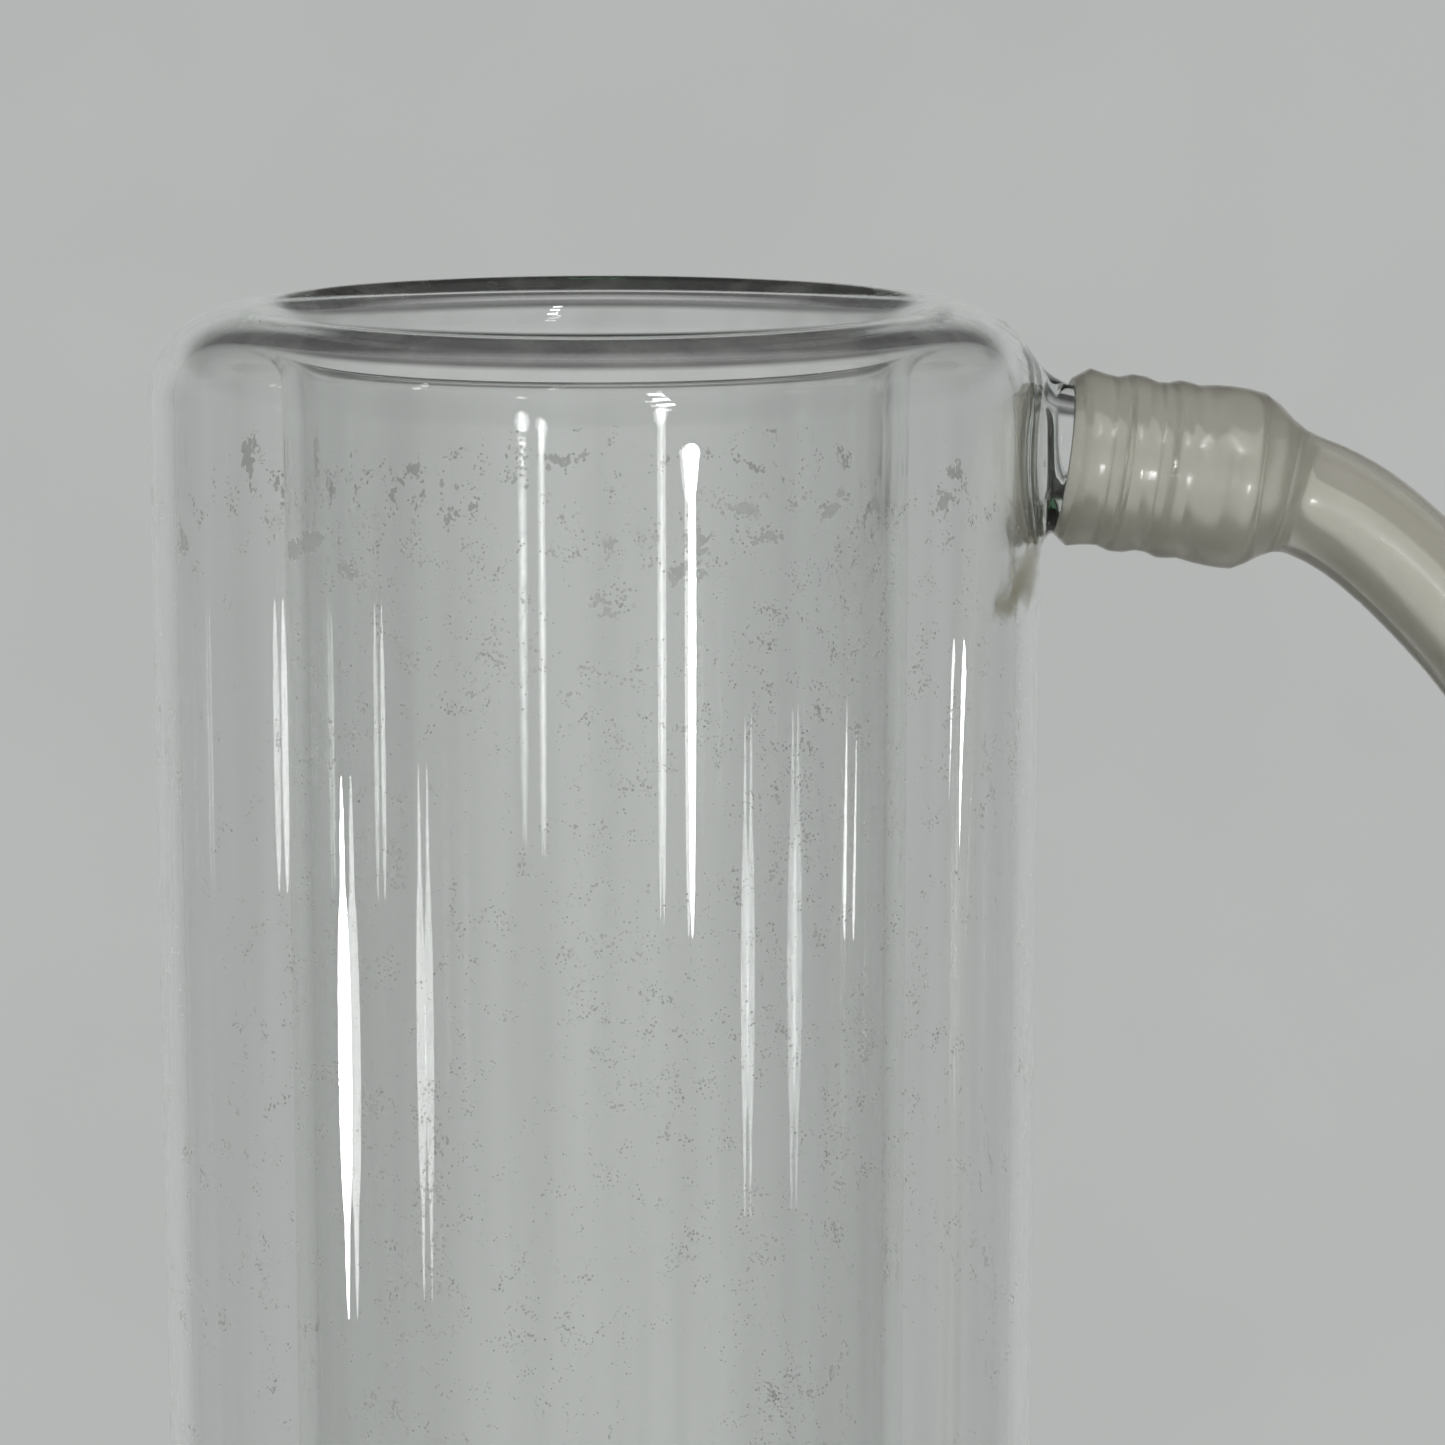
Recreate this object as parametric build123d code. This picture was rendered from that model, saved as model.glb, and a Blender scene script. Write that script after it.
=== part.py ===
"""Soxhlet extractor: round flask, extractor and wide-bore water-jacketed condenser on a rod stand.

Millimetres, +Z up. The origin is on the bench, straight below the axis of the glassware.
+X is the side of the condenser's two hose nipples, and the support rod stands behind, at +Y.
"""

from build123d import *
from math import asin, cos, degrees, hypot, pi, radians, sin, sqrt, tan
import os

os.makedirs("parts", exist_ok=True)

# ---------------------------------------------------------------- driving dimensions
RIM_Z = 760.0  # highest point of the condenser's rolled rim

# condenser
JACKET_R = 29.15
JACKET_WALL = 1.64
BORE_R = 19.0
INNER_WALL = 1.45
SUMMIT_R = 22.6  # radius of the circle along the top of the rolled rim
SHOULDER_DROP = 5.9  # the jacket's shoulder, below the summit
CURL_DROP = 4.1  # the roll into the bore, below the summit
RIM_WALL = 1.6
SEAL_Z = 511.0  # lowest point of the water jacket
SEAL_RISE = 9.0
JOINT_GAP = 0.2  # ground glass cones stand this far off their sockets
CONE_LOW_Z = 450.0  # where the condenser's ground cone starts
CONE_TOP_Z = 492.0
CONE_BLEND_Z = 500.0  # the cone's shoulder meets the inner tube here
CONE_LOW_R = 20.6  # of the socket that the cone sits in
CONE_TOP_R = 22.6

# hose nipples
NIPPLE_TILT = 7.8  # degrees below level
OUTLET_AXIS_DROP = 5.9  # where the outlet nipple's axis crosses the condenser's axis, below the rim
INLET_AXIS_Z = 528.0
NIPPLE_R = 4.6
BARB_R = 5.05
NIPPLE_BORE_R = 3.1
NIPPLE_END = 43.5  # from the condenser's axis, along the nipple
BARB_AT = (31.7, 35.0, 38.0)

# hose
HOSE_R = 4.0
HOSE_BORE_R = 2.5
COIL_TURNS = 3
COIL_R = 40.0  # of the hose's centre line in the coil
COIL_PITCH = 8.2
COIL_X = 116.0
COIL_Y = 66.0
BENCH_GAP = 0.3
FLOOR_Z = HOSE_R + BENCH_GAP
SLEEVE_START = 30.9  # along the nipple, from the condenser's axis
SLEEVE_END = 47.0
SLEEVE_WALL = 0.75

# flask
FLASK_R = 52.5
FLASK_WALL = 1.8
FLASK_Z = 155.0  # centre of the bulb
BULB_TOP_Z = 197.0  # the bulb is drawn in to the neck above this
NECK_THROAT_R = 15.3
NECK_BORE_R = 13.0
NECK_R = 16.8
BEAD_R = 18.6
NECK_TAPER_Z = 218.0  # the ground taper starts here
NECK_MOUTH_R = 14.6
NECK_TOP = 250.0
STONE_R = 2.0

# extractor
CHAMBER_R = 25.0
CHAMBER_WALL = 2.0
CHAMBER_FLOOR = 292.0
CHAMBER_TOP = 445.0
CHAMBER_SHOULDER_Z = 438.0  # the chamber narrows to its socket above this
SOCKET_LOW_R = 20.8
SOCKET_TOP = 490.0
SOCKET_BEAD_R = 27.0
STEM_R = 13.0
STEM_BORE_R = 11.0
DRIP_TIP_R = 8.4
VAPOUR_R = 8.0
VAPOUR_WALL = 1.6
VAPOUR_ROUTE = [(-9, 0, 273), (-38, 0, 273), (-38, 0, 424), (-16, 0, 434)]
VAPOUR_BENDS = [14.0, 14.0]
SIPHON_R = 3.5
SIPHON_WALL = 1.1
SIPHON_ROUTE = [(10, 0, 300), (33, 0, 300), (33, 0, 381), (45, 0, 381), (45, 0, 265), (9, 0, 258)]
SIPHON_BENDS = [9.0, 5.9, 5.9, 9.0]

# thimble
THIMBLE_R = 16.5
THIMBLE_WALL = 1.5
THIMBLE_LENGTH = 94.0
THIMBLE_FLOOR = CHAMBER_FLOOR + CHAMBER_WALL + 0.3

# stand
ROD_X = -22.0
ROD_Y = 105.0
ROD_R = 6.0
ROD_TOP = 600.0
SPIGOT_R = 5.0
PLATE_WIDTH = 160.0
PLATE_DEPTH = 250.0
PLATE_THICKNESS = 12.0
PLATE_REAR = 135.0

# boss heads and clamps
LOWER_CLAMP_Z = 228.0
UPPER_CLAMP_Z = 545.0
ARM_R = 5.0
ARM_REAR = 124.0
GLASS_GAP = 0.3
PAD_THICKNESS = 2.2
JAW_THICKNESS = 3.0
JAW_HALF_HEIGHT = 7.0
JAW_REACH = 235.0  # degrees, where the fixed jaw ends
SHANK_X = 8.0  # half the distance between the jaws' shanks
PIN_X = 5.5
PIN_BACK = 26.0  # from the glass to the jaw's pin
PIN_R = 2.0
SCREW_BACK = 11.0  # from the glass to the jaw's screw
SCREW_R = 2.5
THUMB_R = 3.0
THUMB_COLLAR = 1.7


# ---------------------------------------------------------------- helpers
def save(shape, node):
    export_step(shape, f"parts/{node}.step")


def turned(edges):
    """The solid made by turning a closed outline, drawn as (radius, height), about the Z axis."""
    return revolve(Plane.XZ * make_face(edges), Axis.Z)


def turned_polygon(points):
    return turned(Polyline(*points, close=True))


def tube(outer_r, inner_r, low, high):
    length = high - low
    body = Pos(0, 0, low + length / 2) * Cylinder(outer_r, length)
    return body - Pos(0, 0, low + length / 2) * Cylinder(inner_r, length + 2)


def rod_between(radius, low, high):
    """A cylinder along X from low to high."""
    return Pos((low + high) / 2, 0, 0) * Rot(0, 90, 0) * Cylinder(radius, high - low)


def block(low, high):
    middle = [(a + b) / 2 for a, b in zip(low, high)]
    size = [b - a for a, b in zip(low, high)]
    return Pos(*middle) * Box(*size)


def swept_tube(route, bends, outer_r, inner_r):
    """A tube along straight runs joined by tangent arcs."""
    path = FilletPolyline(*route, radius=bends)
    start = Plane(origin=path @ 0, z_dir=path % 0)
    outer = sweep(start * Circle(outer_r), path=path)
    inner = sweep(start * Circle(inner_r), path=path)
    return outer - inner


# ---------------------------------------------------------------- condenser
def quarter_ellipse(centre_r, centre_z, across, up, start):
    """A quarter turn, anticlockwise from start degrees."""
    return EllipticalCenterArc((centre_r, centre_z), across, up, start_angle=start, arc_size=90)


def condenser_jacket():
    shoulder_z = RIM_Z - SHOULDER_DROP
    across = JACKET_R - SUMMIT_R
    under_z = RIM_Z - RIM_WALL
    tube_r = BORE_R + INNER_WALL
    seal_z = SEAL_Z + SEAL_RISE
    seal_across = JACKET_R - tube_r
    inside_r = JACKET_R - JACKET_WALL
    outline = [
        quarter_ellipse(SUMMIT_R, shoulder_z, across, SHOULDER_DROP, 0),
        Line((JACKET_R, shoulder_z), (JACKET_R, seal_z)),
        quarter_ellipse(tube_r, seal_z, seal_across, SEAL_RISE, 270),
        Line((tube_r, SEAL_Z), (tube_r, SEAL_Z + JACKET_WALL)),
        quarter_ellipse(
            tube_r, seal_z, seal_across - JACKET_WALL, SEAL_RISE - JACKET_WALL, 270
        ),
        Line((inside_r, seal_z), (inside_r, shoulder_z)),
        quarter_ellipse(
            SUMMIT_R, shoulder_z, across - JACKET_WALL, SHOULDER_DROP - RIM_WALL, 0
        ),
        Line((SUMMIT_R, under_z), (SUMMIT_R, RIM_Z)),
    ]
    return turned(outline)


def condenser_inner_tube():
    curl_z = RIM_Z - CURL_DROP
    across = SUMMIT_R - BORE_R
    outer_r = BORE_R + INNER_WALL
    low = CONE_BLEND_Z
    outline = [
        quarter_ellipse(SUMMIT_R, curl_z, across, CURL_DROP, 90),
        Line((BORE_R, curl_z), (BORE_R, low)),
        Line((BORE_R, low), (outer_r, low)),
        Line((outer_r, low), (outer_r, curl_z)),
        quarter_ellipse(SUMMIT_R, curl_z, across - INNER_WALL, CURL_DROP - RIM_WALL, 90),
        Line((SUMMIT_R, RIM_Z - RIM_WALL), (SUMMIT_R, RIM_Z)),
    ]
    return turned(outline)


def condenser_cone():
    outer_r = BORE_R + INNER_WALL
    top_r = CONE_TOP_R - JOINT_GAP
    low_r = CONE_LOW_R - JOINT_GAP
    return turned_polygon(
        [
            (BORE_R, CONE_LOW_Z - 1),
            (low_r, CONE_LOW_Z),
            (top_r, SOCKET_TOP),
            (top_r, CONE_TOP_Z),
            (outer_r, CONE_BLEND_Z),
            (BORE_R, CONE_BLEND_Z),
        ]
    )


def nipple_outline():
    """Outer radius of a hose nipple at each distance from the condenser's axis."""
    points = [(26.0, 8.2), (29.2, 6.6), (30.4, 4.9)]
    for at in BARB_AT:
        points += [(at - 0.7, NIPPLE_R), (at, BARB_R), (at + 0.9, NIPPLE_R)]
    points += [(NIPPLE_END - 2.6, NIPPLE_R), (NIPPLE_END - 1.3, BARB_R), (NIPPLE_END, NIPPLE_R - 0.3)]
    return points


def along_nipple(shape, axis_z):
    """Lay a shape built on +Z along a nipple's axis."""
    return Pos(0, 0, axis_z) * Rot(0, 90 + NIPPLE_TILT, 0) * shape


def nipple(axis_z):
    profile = [(NIPPLE_BORE_R, 26.0)]
    profile += [(radius, at) for at, radius in nipple_outline()]
    profile += [(NIPPLE_BORE_R, NIPPLE_END)]
    body = along_nipple(turned_polygon(profile), axis_z)
    return body - Pos(0, 0, axis_z) * Cylinder(JACKET_R, 80)


def drill_jacket(jacket):
    for axis_z in (RIM_Z - OUTLET_AXIS_DROP, INLET_AXIS_Z):
        bore = Pos(0, 0, 26) * Cylinder(NIPPLE_BORE_R, 10)
        jacket -= along_nipple(bore, axis_z)
    return jacket


# ---------------------------------------------------------------- hose
def hose_sleeve():
    """The end of the hose, stretched over the nipple, and its neck down to the relaxed hose."""
    inner_r = BARB_R + 0.05
    profile = [
        (inner_r, SLEEVE_START),
        (inner_r + SLEEVE_WALL, SLEEVE_START),
        (inner_r + 0.95, 42.5),
        (inner_r + 0.5, 44.5),
        (HOSE_R, SLEEVE_END),
        (HOSE_BORE_R, SLEEVE_END),
        (inner_r - 0.5, NIPPLE_END + 1.0),
        (inner_r, NIPPLE_END + 0.3),
    ]
    return along_nipple(turned_polygon(profile), RIM_Z - OUTLET_AXIS_DROP)


def hose_route():
    """The hose's centre line from the end of its sleeve, down to the bench and into the coil."""
    start = (
        SLEEVE_END * cos(radians(NIPPLE_TILT)),
        0.0,
        RIM_Z - OUTLET_AXIS_DROP - SLEEVE_END * sin(radians(NIPPLE_TILT)),
    )
    return [
        start,
        (54.1, 0.1, 742.3),
        (60.8, 0.0, 734.9),
        (66.4, -0.4, 724.3),
        (71.8, -1.2, 706.0),
        (77.4, -2.2, 673.0),
        (82.2, -3.4, 612.0),
        (85.0, -3.6, 508.0),
        (84.2, -2.0, 400.0),
        (81.2, 0.4, 292.0),
        (77.8, 1.4, 186.0),
        (76.0, 0.4, 106.0),
        (76.2, 2.2, 52.0),
        (76.2, 15.4, 25.0),
        (76.0, 38.0, FLOOR_Z),
        (COIL_X - COIL_R, COIL_Y, FLOOR_Z),
    ]


def turn_and_runs(route, at):
    before = [b - a for a, b in zip(route[at - 1], route[at])]
    after = [b - a for a, b in zip(route[at], route[at + 1])]
    lengths = hypot(*before), hypot(*after)
    along = sum(a * b for a, b in zip(before, after)) / (lengths[0] * lengths[1])
    turn = pi / 2 - asin(max(-1.0, min(1.0, along)))
    return turn, lengths


def bend_radii(route):
    """The largest radius that both of its runs allow, at each corner of the route."""
    radii = []
    for at in range(1, len(route) - 1):
        turn, lengths = turn_and_runs(route, at)
        radii.append(0.45 * min(lengths) / tan(turn / 2))
    return radii


def hose_coil():
    height = COIL_TURNS * COIL_PITCH + 2 * HOSE_R
    ring = tube(COIL_R + HOSE_R, COIL_R - HOSE_R, 0, height)
    return Pos(COIL_X, COIL_Y, BENCH_GAP) * ring


def outlet_hose(sleeve, coil):
    route = hose_route()
    hose = swept_tube(route, bend_radii(route), HOSE_R, HOSE_BORE_R)
    hose = hose - sleeve - coil
    return max(hose.solids(), key=lambda solid: solid.volume)


# ---------------------------------------------------------------- flask
def flask_outside():
    bulb = Pos(0, 0, FLASK_Z) * Sphere(FLASK_R)
    neck = turned_polygon(
        [
            (0, 180),
            (NECK_THROAT_R, 180),
            (NECK_THROAT_R, 212),
            (NECK_R, 217),
            (NECK_R, NECK_TOP - 4),
            (BEAD_R, NECK_TOP - 2.8),
            (BEAD_R, NECK_TOP),
            (0, NECK_TOP),
        ]
    )
    return bulb + neck


def flask_inside():
    bulb = Pos(0, 0, FLASK_Z) * Sphere(FLASK_R - FLASK_WALL)
    neck = turned_polygon(
        [
            (0, 180),
            (NECK_BORE_R, 180),
            (NECK_BORE_R, NECK_TAPER_Z),
            (NECK_MOUTH_R, NECK_TOP),
            (NECK_MOUTH_R, NECK_TOP + 2),
            (0, NECK_TOP + 2),
        ]
    )
    return bulb + neck


def neck_space():
    """All the room above the line where the flask's bulb is drawn in to its neck."""
    return block((-FLASK_R, -FLASK_R, BULB_TOP_Z), (FLASK_R, FLASK_R, NECK_TOP + 2))


def flask_bulb():
    return flask_outside() - flask_inside() - neck_space()


def flask_neck_tube():
    return (flask_outside() - flask_inside()) & neck_space()


def boiling_stones():
    stones = []
    reach = FLASK_R - FLASK_WALL - STONE_R - 0.2
    spots = [(3, 20), (8, 95), (9, 200), (7, 310), (13, 150), (12, 265), (14, 30)]
    for index, (tip, turn) in enumerate(spots):
        size = STONE_R - 0.12 * (index % 3)
        out = reach * sin(radians(tip))
        down = reach * cos(radians(tip))
        spot = Pos(out * cos(radians(turn)), out * sin(radians(turn)), FLASK_Z - down)
        stones.append(spot * Sphere(size))
    return Compound(children=stones)


# ---------------------------------------------------------------- extractor
def chamber_outside():
    middle = CHAMBER_FLOOR + CHAMBER_R
    body = Pos(0, 0, middle) * Sphere(CHAMBER_R)
    return body + Pos(0, 0, (middle + CHAMBER_TOP) / 2) * Cylinder(CHAMBER_R, CHAMBER_TOP - middle)


def chamber_inside():
    middle = CHAMBER_FLOOR + CHAMBER_R
    radius = CHAMBER_R - CHAMBER_WALL
    body = Pos(0, 0, middle) * Sphere(radius)
    length = CHAMBER_SHOULDER_Z - middle
    body += Pos(0, 0, middle + length / 2) * Cylinder(radius, length)
    return body + turned_polygon(
        [
            (0, CHAMBER_SHOULDER_Z),
            (radius, CHAMBER_SHOULDER_Z),
            (SOCKET_LOW_R, CHAMBER_TOP),
            (SOCKET_LOW_R, CHAMBER_TOP + 2),
            (0, CHAMBER_TOP + 2),
        ]
    )


def side_tube(route, bends, radius, wall, cutters):
    """A side tube of the extractor, ended where it meets the chamber and the stem."""
    body = swept_tube(route, bends, radius, radius - wall)
    for cutter in cutters:
        body -= cutter
    return max(body.solids(), key=lambda solid: solid.volume)


def port(start, end, radius):
    """A straight drill from start to end."""
    length = sqrt(sum((b - a) ** 2 for a, b in zip(start, end)))
    plane = Plane(origin=start, z_dir=[b - a for a, b in zip(start, end)])
    return plane * Pos(0, 0, length / 2) * Cylinder(radius, length)


def extractor_chamber():
    body = chamber_outside() - chamber_inside()
    body -= port(VAPOUR_ROUTE[-2], VAPOUR_ROUTE[-1], VAPOUR_R - VAPOUR_WALL)
    return body - port(SIPHON_ROUTE[1], SIPHON_ROUTE[0], SIPHON_R - SIPHON_WALL)


def extractor_socket():
    return turned_polygon(
        [
            (CONE_LOW_R, CHAMBER_TOP),
            (CHAMBER_R, CHAMBER_TOP),
            (CHAMBER_R, SOCKET_TOP - 5),
            (SOCKET_BEAD_R, SOCKET_TOP - 3.5),
            (SOCKET_BEAD_R, SOCKET_TOP),
            (CONE_TOP_R, SOCKET_TOP),
            (CONE_LOW_R, CONE_LOW_Z),
        ]
    )


def stem_outside():
    top_r = NECK_MOUTH_R - JOINT_GAP
    low_r = NECK_BORE_R - JOINT_GAP
    return turned_polygon(
        [
            (0, 205),
            (DRIP_TIP_R + 1.6, 205),
            (low_r, NECK_TAPER_Z),
            (top_r, NECK_TOP),
            (top_r, NECK_TOP + 2),
            (STEM_R, NECK_TOP + 8),
            (STEM_R, 300),
            (0, 300),
        ]
    )


def extractor_stem():
    bore = turned_polygon(
        [(0, 204), (DRIP_TIP_R, 204), (STEM_BORE_R, NECK_TAPER_Z), (STEM_BORE_R + 0.2, 300.5), (0, 300.5)]
    )
    body = stem_outside() - bore
    body -= chamber_outside()
    body -= port(VAPOUR_ROUTE[1], VAPOUR_ROUTE[0], VAPOUR_R - VAPOUR_WALL)
    body -= port(SIPHON_ROUTE[-2], SIPHON_ROUTE[-1], SIPHON_R - SIPHON_WALL)
    return max(body.solids(), key=lambda solid: solid.volume)


# ---------------------------------------------------------------- thimble
def thimble():
    middle = THIMBLE_FLOOR + THIMBLE_R
    top = THIMBLE_FLOOR + THIMBLE_LENGTH
    inside_r = THIMBLE_R - THIMBLE_WALL
    outer = Pos(0, 0, middle) * Sphere(THIMBLE_R)
    outer += Pos(0, 0, (middle + top) / 2) * Cylinder(THIMBLE_R, top - middle)
    inner = Pos(0, 0, middle) * Sphere(inside_r)
    inner += Pos(0, 0, (middle + top + 2) / 2) * Cylinder(inside_r, top + 2 - middle)
    return outer - inner


def wool_plug():
    top = THIMBLE_FLOOR + THIMBLE_LENGTH
    plug = Pos(0, 0, top - 8) * Cylinder(THIMBLE_R - THIMBLE_WALL, 12)
    return fillet(plug.edges(), 3)


# ---------------------------------------------------------------- stand
def base_plate():
    low_y = PLATE_REAR - PLATE_DEPTH
    plate = block(
        (ROD_X - PLATE_WIDTH / 2, low_y, 0), (ROD_X + PLATE_WIDTH / 2, PLATE_REAR, PLATE_THICKNESS)
    )
    plate = fillet(plate.edges().filter_by(Axis.Z), 12)
    plate = fillet(plate.edges().group_by(Axis.Z)[-1], 3)
    raised = Pos(ROD_X, ROD_Y, PLATE_THICKNESS + 3) * Cylinder(15, 6)
    plate += fillet(raised.edges().group_by(Axis.Z)[-1], 2)
    plate -= Pos(ROD_X, ROD_Y, 10) * Cylinder(SPIGOT_R + 0.1, 30)
    return plate - Pos(ROD_X, ROD_Y, 4.5) * Cylinder(12.5, 9.002)


def support_rod():
    seat = PLATE_THICKNESS + 6
    shaft = Pos(ROD_X, ROD_Y, (seat + ROD_TOP) / 2) * Cylinder(ROD_R, ROD_TOP - seat)
    shaft = chamfer(shaft.edges().group_by(Axis.Z)[-1], 1.0)
    return shaft + Pos(ROD_X, ROD_Y, (1 + seat) / 2) * Cylinder(SPIGOT_R, seat - 1)


def rod_washer():
    return Pos(ROD_X, ROD_Y, 0) * tube(10.5, SPIGOT_R + 0.2, 7.5, 9.0)


def rod_nut():
    hexagon = extrude(RegularPolygon(9.2, 6), 6.0)
    return Pos(ROD_X, ROD_Y, 1.5) * (hexagon - Pos(0, 0, 3) * Cylinder(SPIGOT_R + 0.02, 8))


# ---------------------------------------------------------------- boss heads
def boss_head():
    """Cast double boss, with the rod's axis at (ROD_X, ROD_Y) and the arm's axis on X = 0, Z = 0."""
    rod_hook = block((ROD_X - 15, ROD_Y - 12, -16), (ROD_X + 12, ROD_Y + 11, 16))
    arm_hook = block((ROD_X + 8, ROD_Y - 12, -11), (14, ROD_Y + 11, 9))
    body = fillet(rod_hook.edges(), 3) + fillet(arm_hook.edges(), 3)
    body += Pos(ROD_X - 18, ROD_Y, 0) * Rot(0, 90, 0) * Cylinder(7, 8)
    body += Pos(17, ROD_Y, 0) * Rot(0, 90, 0) * Cylinder(7, 8)
    rod_slot = Pos(ROD_X, ROD_Y, 0) * Cylinder(ROD_R + GLASS_GAP, 40)
    rod_slot += block(
        (ROD_X - ROD_R - GLASS_GAP, ROD_Y, -20), (ROD_X + ROD_R + GLASS_GAP, ROD_Y + 20, 20)
    )
    arm_slot = Pos(0, ROD_Y, 0) * Rot(90, 0, 0) * Cylinder(ARM_R + 0.1, 40)
    arm_slot += block((-ARM_R - 0.1, ROD_Y - 20, 0), (ARM_R + 0.1, ROD_Y + 20, 20))
    body -= rod_slot
    body -= arm_slot
    body -= Pos(0, ROD_Y, 0) * rod_between(THUMB_R + 0.05, ROD_X - 30, ROD_X)
    return body - Pos(0, ROD_Y, 0) * rod_between(THUMB_R + 0.05, 0, 30)


def thumbscrew(shaft_r, length):
    """Wing screw along +X from its tip at the origin; the wing stands up in Z."""
    shaft = rod_between(shaft_r, 0, length)
    shaft = chamfer(shaft.edges().group_by(Axis.X)[0], 0.5)
    collar = rod_between(shaft_r + THUMB_COLLAR, length, length + 3)
    stalk = rod_between(shaft_r + 0.6, length + 3, length + 10)
    lobes = []
    for side in (-1, 1):
        lobes.append(Pos(length + 11, 0, side * 7) * Rot(90, 0, 0) * Cylinder(6.5, 2.6))
    wing = lobes[0] + lobes[1] + block((length + 5, -1.3, -8), (length + 14, 1.3, 8))
    return shaft + collar + stalk + fillet(wing.edges(), 0.6)


def rod_screw():
    return Pos(ROD_X - ROD_R - GLASS_GAP, ROD_Y, 0) * Rot(0, 0, 180) * thumbscrew(THUMB_R, 18.5)


def arm_screw():
    return Pos(ARM_R + GLASS_GAP, ROD_Y, 0) * thumbscrew(THUMB_R, 18.5)


# ---------------------------------------------------------------- clamps
def sector(inner_r, outer_r, low, high, half_height):
    """Part of a ring about the Z axis between two angles in degrees."""
    ring = tube(outer_r, inner_r, -half_height, half_height)
    middle = (low + high) / 2
    reach = 3 * outer_r
    cutter = extrude(
        make_face(
            Polyline(
                (0, 0),
                *[
                    (reach * cos(radians(angle)), reach * sin(radians(angle)))
                    for angle in (low, (low + middle) / 2, middle, (middle + high) / 2, high)
                ],
                close=True,
            )
        ),
        half_height + 1,
        both=True,
    )
    return ring & cutter


def shank_angle(jaw_r):
    """Where the jaw's ring meets its shank, in degrees."""
    return 90 + degrees(asin((SHANK_X - 2) / (jaw_r + JAW_THICKNESS)))


def jaw_radius(glass_r):
    return glass_r + GLASS_GAP + PAD_THICKNESS


def clamp_arm(glass_r):
    front = glass_r + 32.3
    arm = Pos(0, (front + ARM_REAR) / 2, 0) * Rot(90, 0, 0) * Cylinder(ARM_R, ARM_REAR - front)
    return chamfer(arm.edges(), 0.6)


def jaw_blank(glass_r):
    """The left jaw: its ring and the shank that carries it."""
    jaw_r = jaw_radius(glass_r)
    ring = sector(jaw_r, jaw_r + JAW_THICKNESS, shank_angle(jaw_r), JAW_REACH, JAW_HALF_HEIGHT)
    shank = block(
        (-SHANK_X - 2, glass_r + 1, -JAW_HALF_HEIGHT), (-SHANK_X + 2, glass_r + 17, JAW_HALF_HEIGHT)
    )
    shank -= Cylinder(jaw_r, 40)
    return ring + shank


def fixed_jaw(glass_r):
    pin_y = glass_r + PIN_BACK
    head = fillet(block((-10, glass_r + 20, -9), (10, glass_r + 42, 9)).edges(), 1.2)
    neck = block(
        (-SHANK_X - 2, glass_r + 15, -JAW_HALF_HEIGHT), (-SHANK_X + 2, glass_r + 24, JAW_HALF_HEIGHT)
    )
    body = jaw_blank(glass_r) + neck + head
    body -= block((PIN_X - 5.3, glass_r + 10, -4.3), (14, pin_y + 5.3, 4.3))
    body -= Pos(PIN_X, pin_y, 0) * Cylinder(PIN_R + 0.02, 30)
    body -= Pos(0, glass_r + 37.5, 0) * Rot(90, 0, 0) * Cylinder(ARM_R + 0.03, 11)
    return body - Pos(0, glass_r + SCREW_BACK, 0) * rod_between(SCREW_R + 0.05, -20, 0)


def moving_jaw(glass_r):
    pin_y = glass_r + PIN_BACK
    body = mirror(jaw_blank(glass_r), Plane.YZ)
    tongue = block((PIN_X - 4.5, glass_r + 15.2, -4), (SHANK_X + 2, pin_y, 4))
    body += tongue + Pos(PIN_X, pin_y, 0) * Cylinder(4.5, 8)
    body -= Pos(PIN_X, pin_y, 0) * Cylinder(PIN_R + 0.05, 30)
    slot = Pos(SHANK_X, pin_y - 16.35, 0) * Box(10, 8.8, 5.8)
    return body - slot


def jaw_pin(glass_r):
    pin = Pos(PIN_X, glass_r + PIN_BACK, 0) * Cylinder(PIN_R, 20.4)
    return pin + Pos(PIN_X, glass_r + PIN_BACK, 9.95) * Cylinder(3.4, 1.5)


def jaw_screw(glass_r):
    """Threaded in the fixed jaw; its collar bears on the moving jaw."""
    tip = -SHANK_X - 9
    screw = thumbscrew(SCREW_R, SHANK_X + 2 + GLASS_GAP - tip)
    return Pos(tip, glass_r + SCREW_BACK, 0) * screw


def jaw_pad(glass_r, left):
    low = shank_angle(jaw_radius(glass_r)) + 4
    inner_r = glass_r + GLASS_GAP
    pad = sector(inner_r, inner_r + PAD_THICKNESS, low, JAW_REACH - 2, JAW_HALF_HEIGHT)
    return pad if left else mirror(pad, Plane.YZ)


def save_clamp(name, glass_r, height):
    parts = {
        "boss_head": boss_head(),
        "boss_rod_screw": rod_screw(),
        "boss_arm_screw": arm_screw(),
        "clamp_arm": clamp_arm(glass_r),
        "fixed_jaw": fixed_jaw(glass_r),
        "moving_jaw": moving_jaw(glass_r),
        "jaw_pin": jaw_pin(glass_r),
        "jaw_screw": jaw_screw(glass_r),
        "fixed_pad": jaw_pad(glass_r, True),
        "moving_pad": jaw_pad(glass_r, False),
    }
    for part, shape in parts.items():
        save(Pos(0, 0, height) * shape, f"{name}_{part}")


# ---------------------------------------------------------------- write the parts
save(base_plate(), "base_plate")
save(support_rod(), "support_rod")
save(rod_washer(), "rod_washer")
save(rod_nut(), "rod_nut")
save_clamp("lower", NECK_R, LOWER_CLAMP_Z)
save_clamp("upper", JACKET_R, UPPER_CLAMP_Z)

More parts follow.
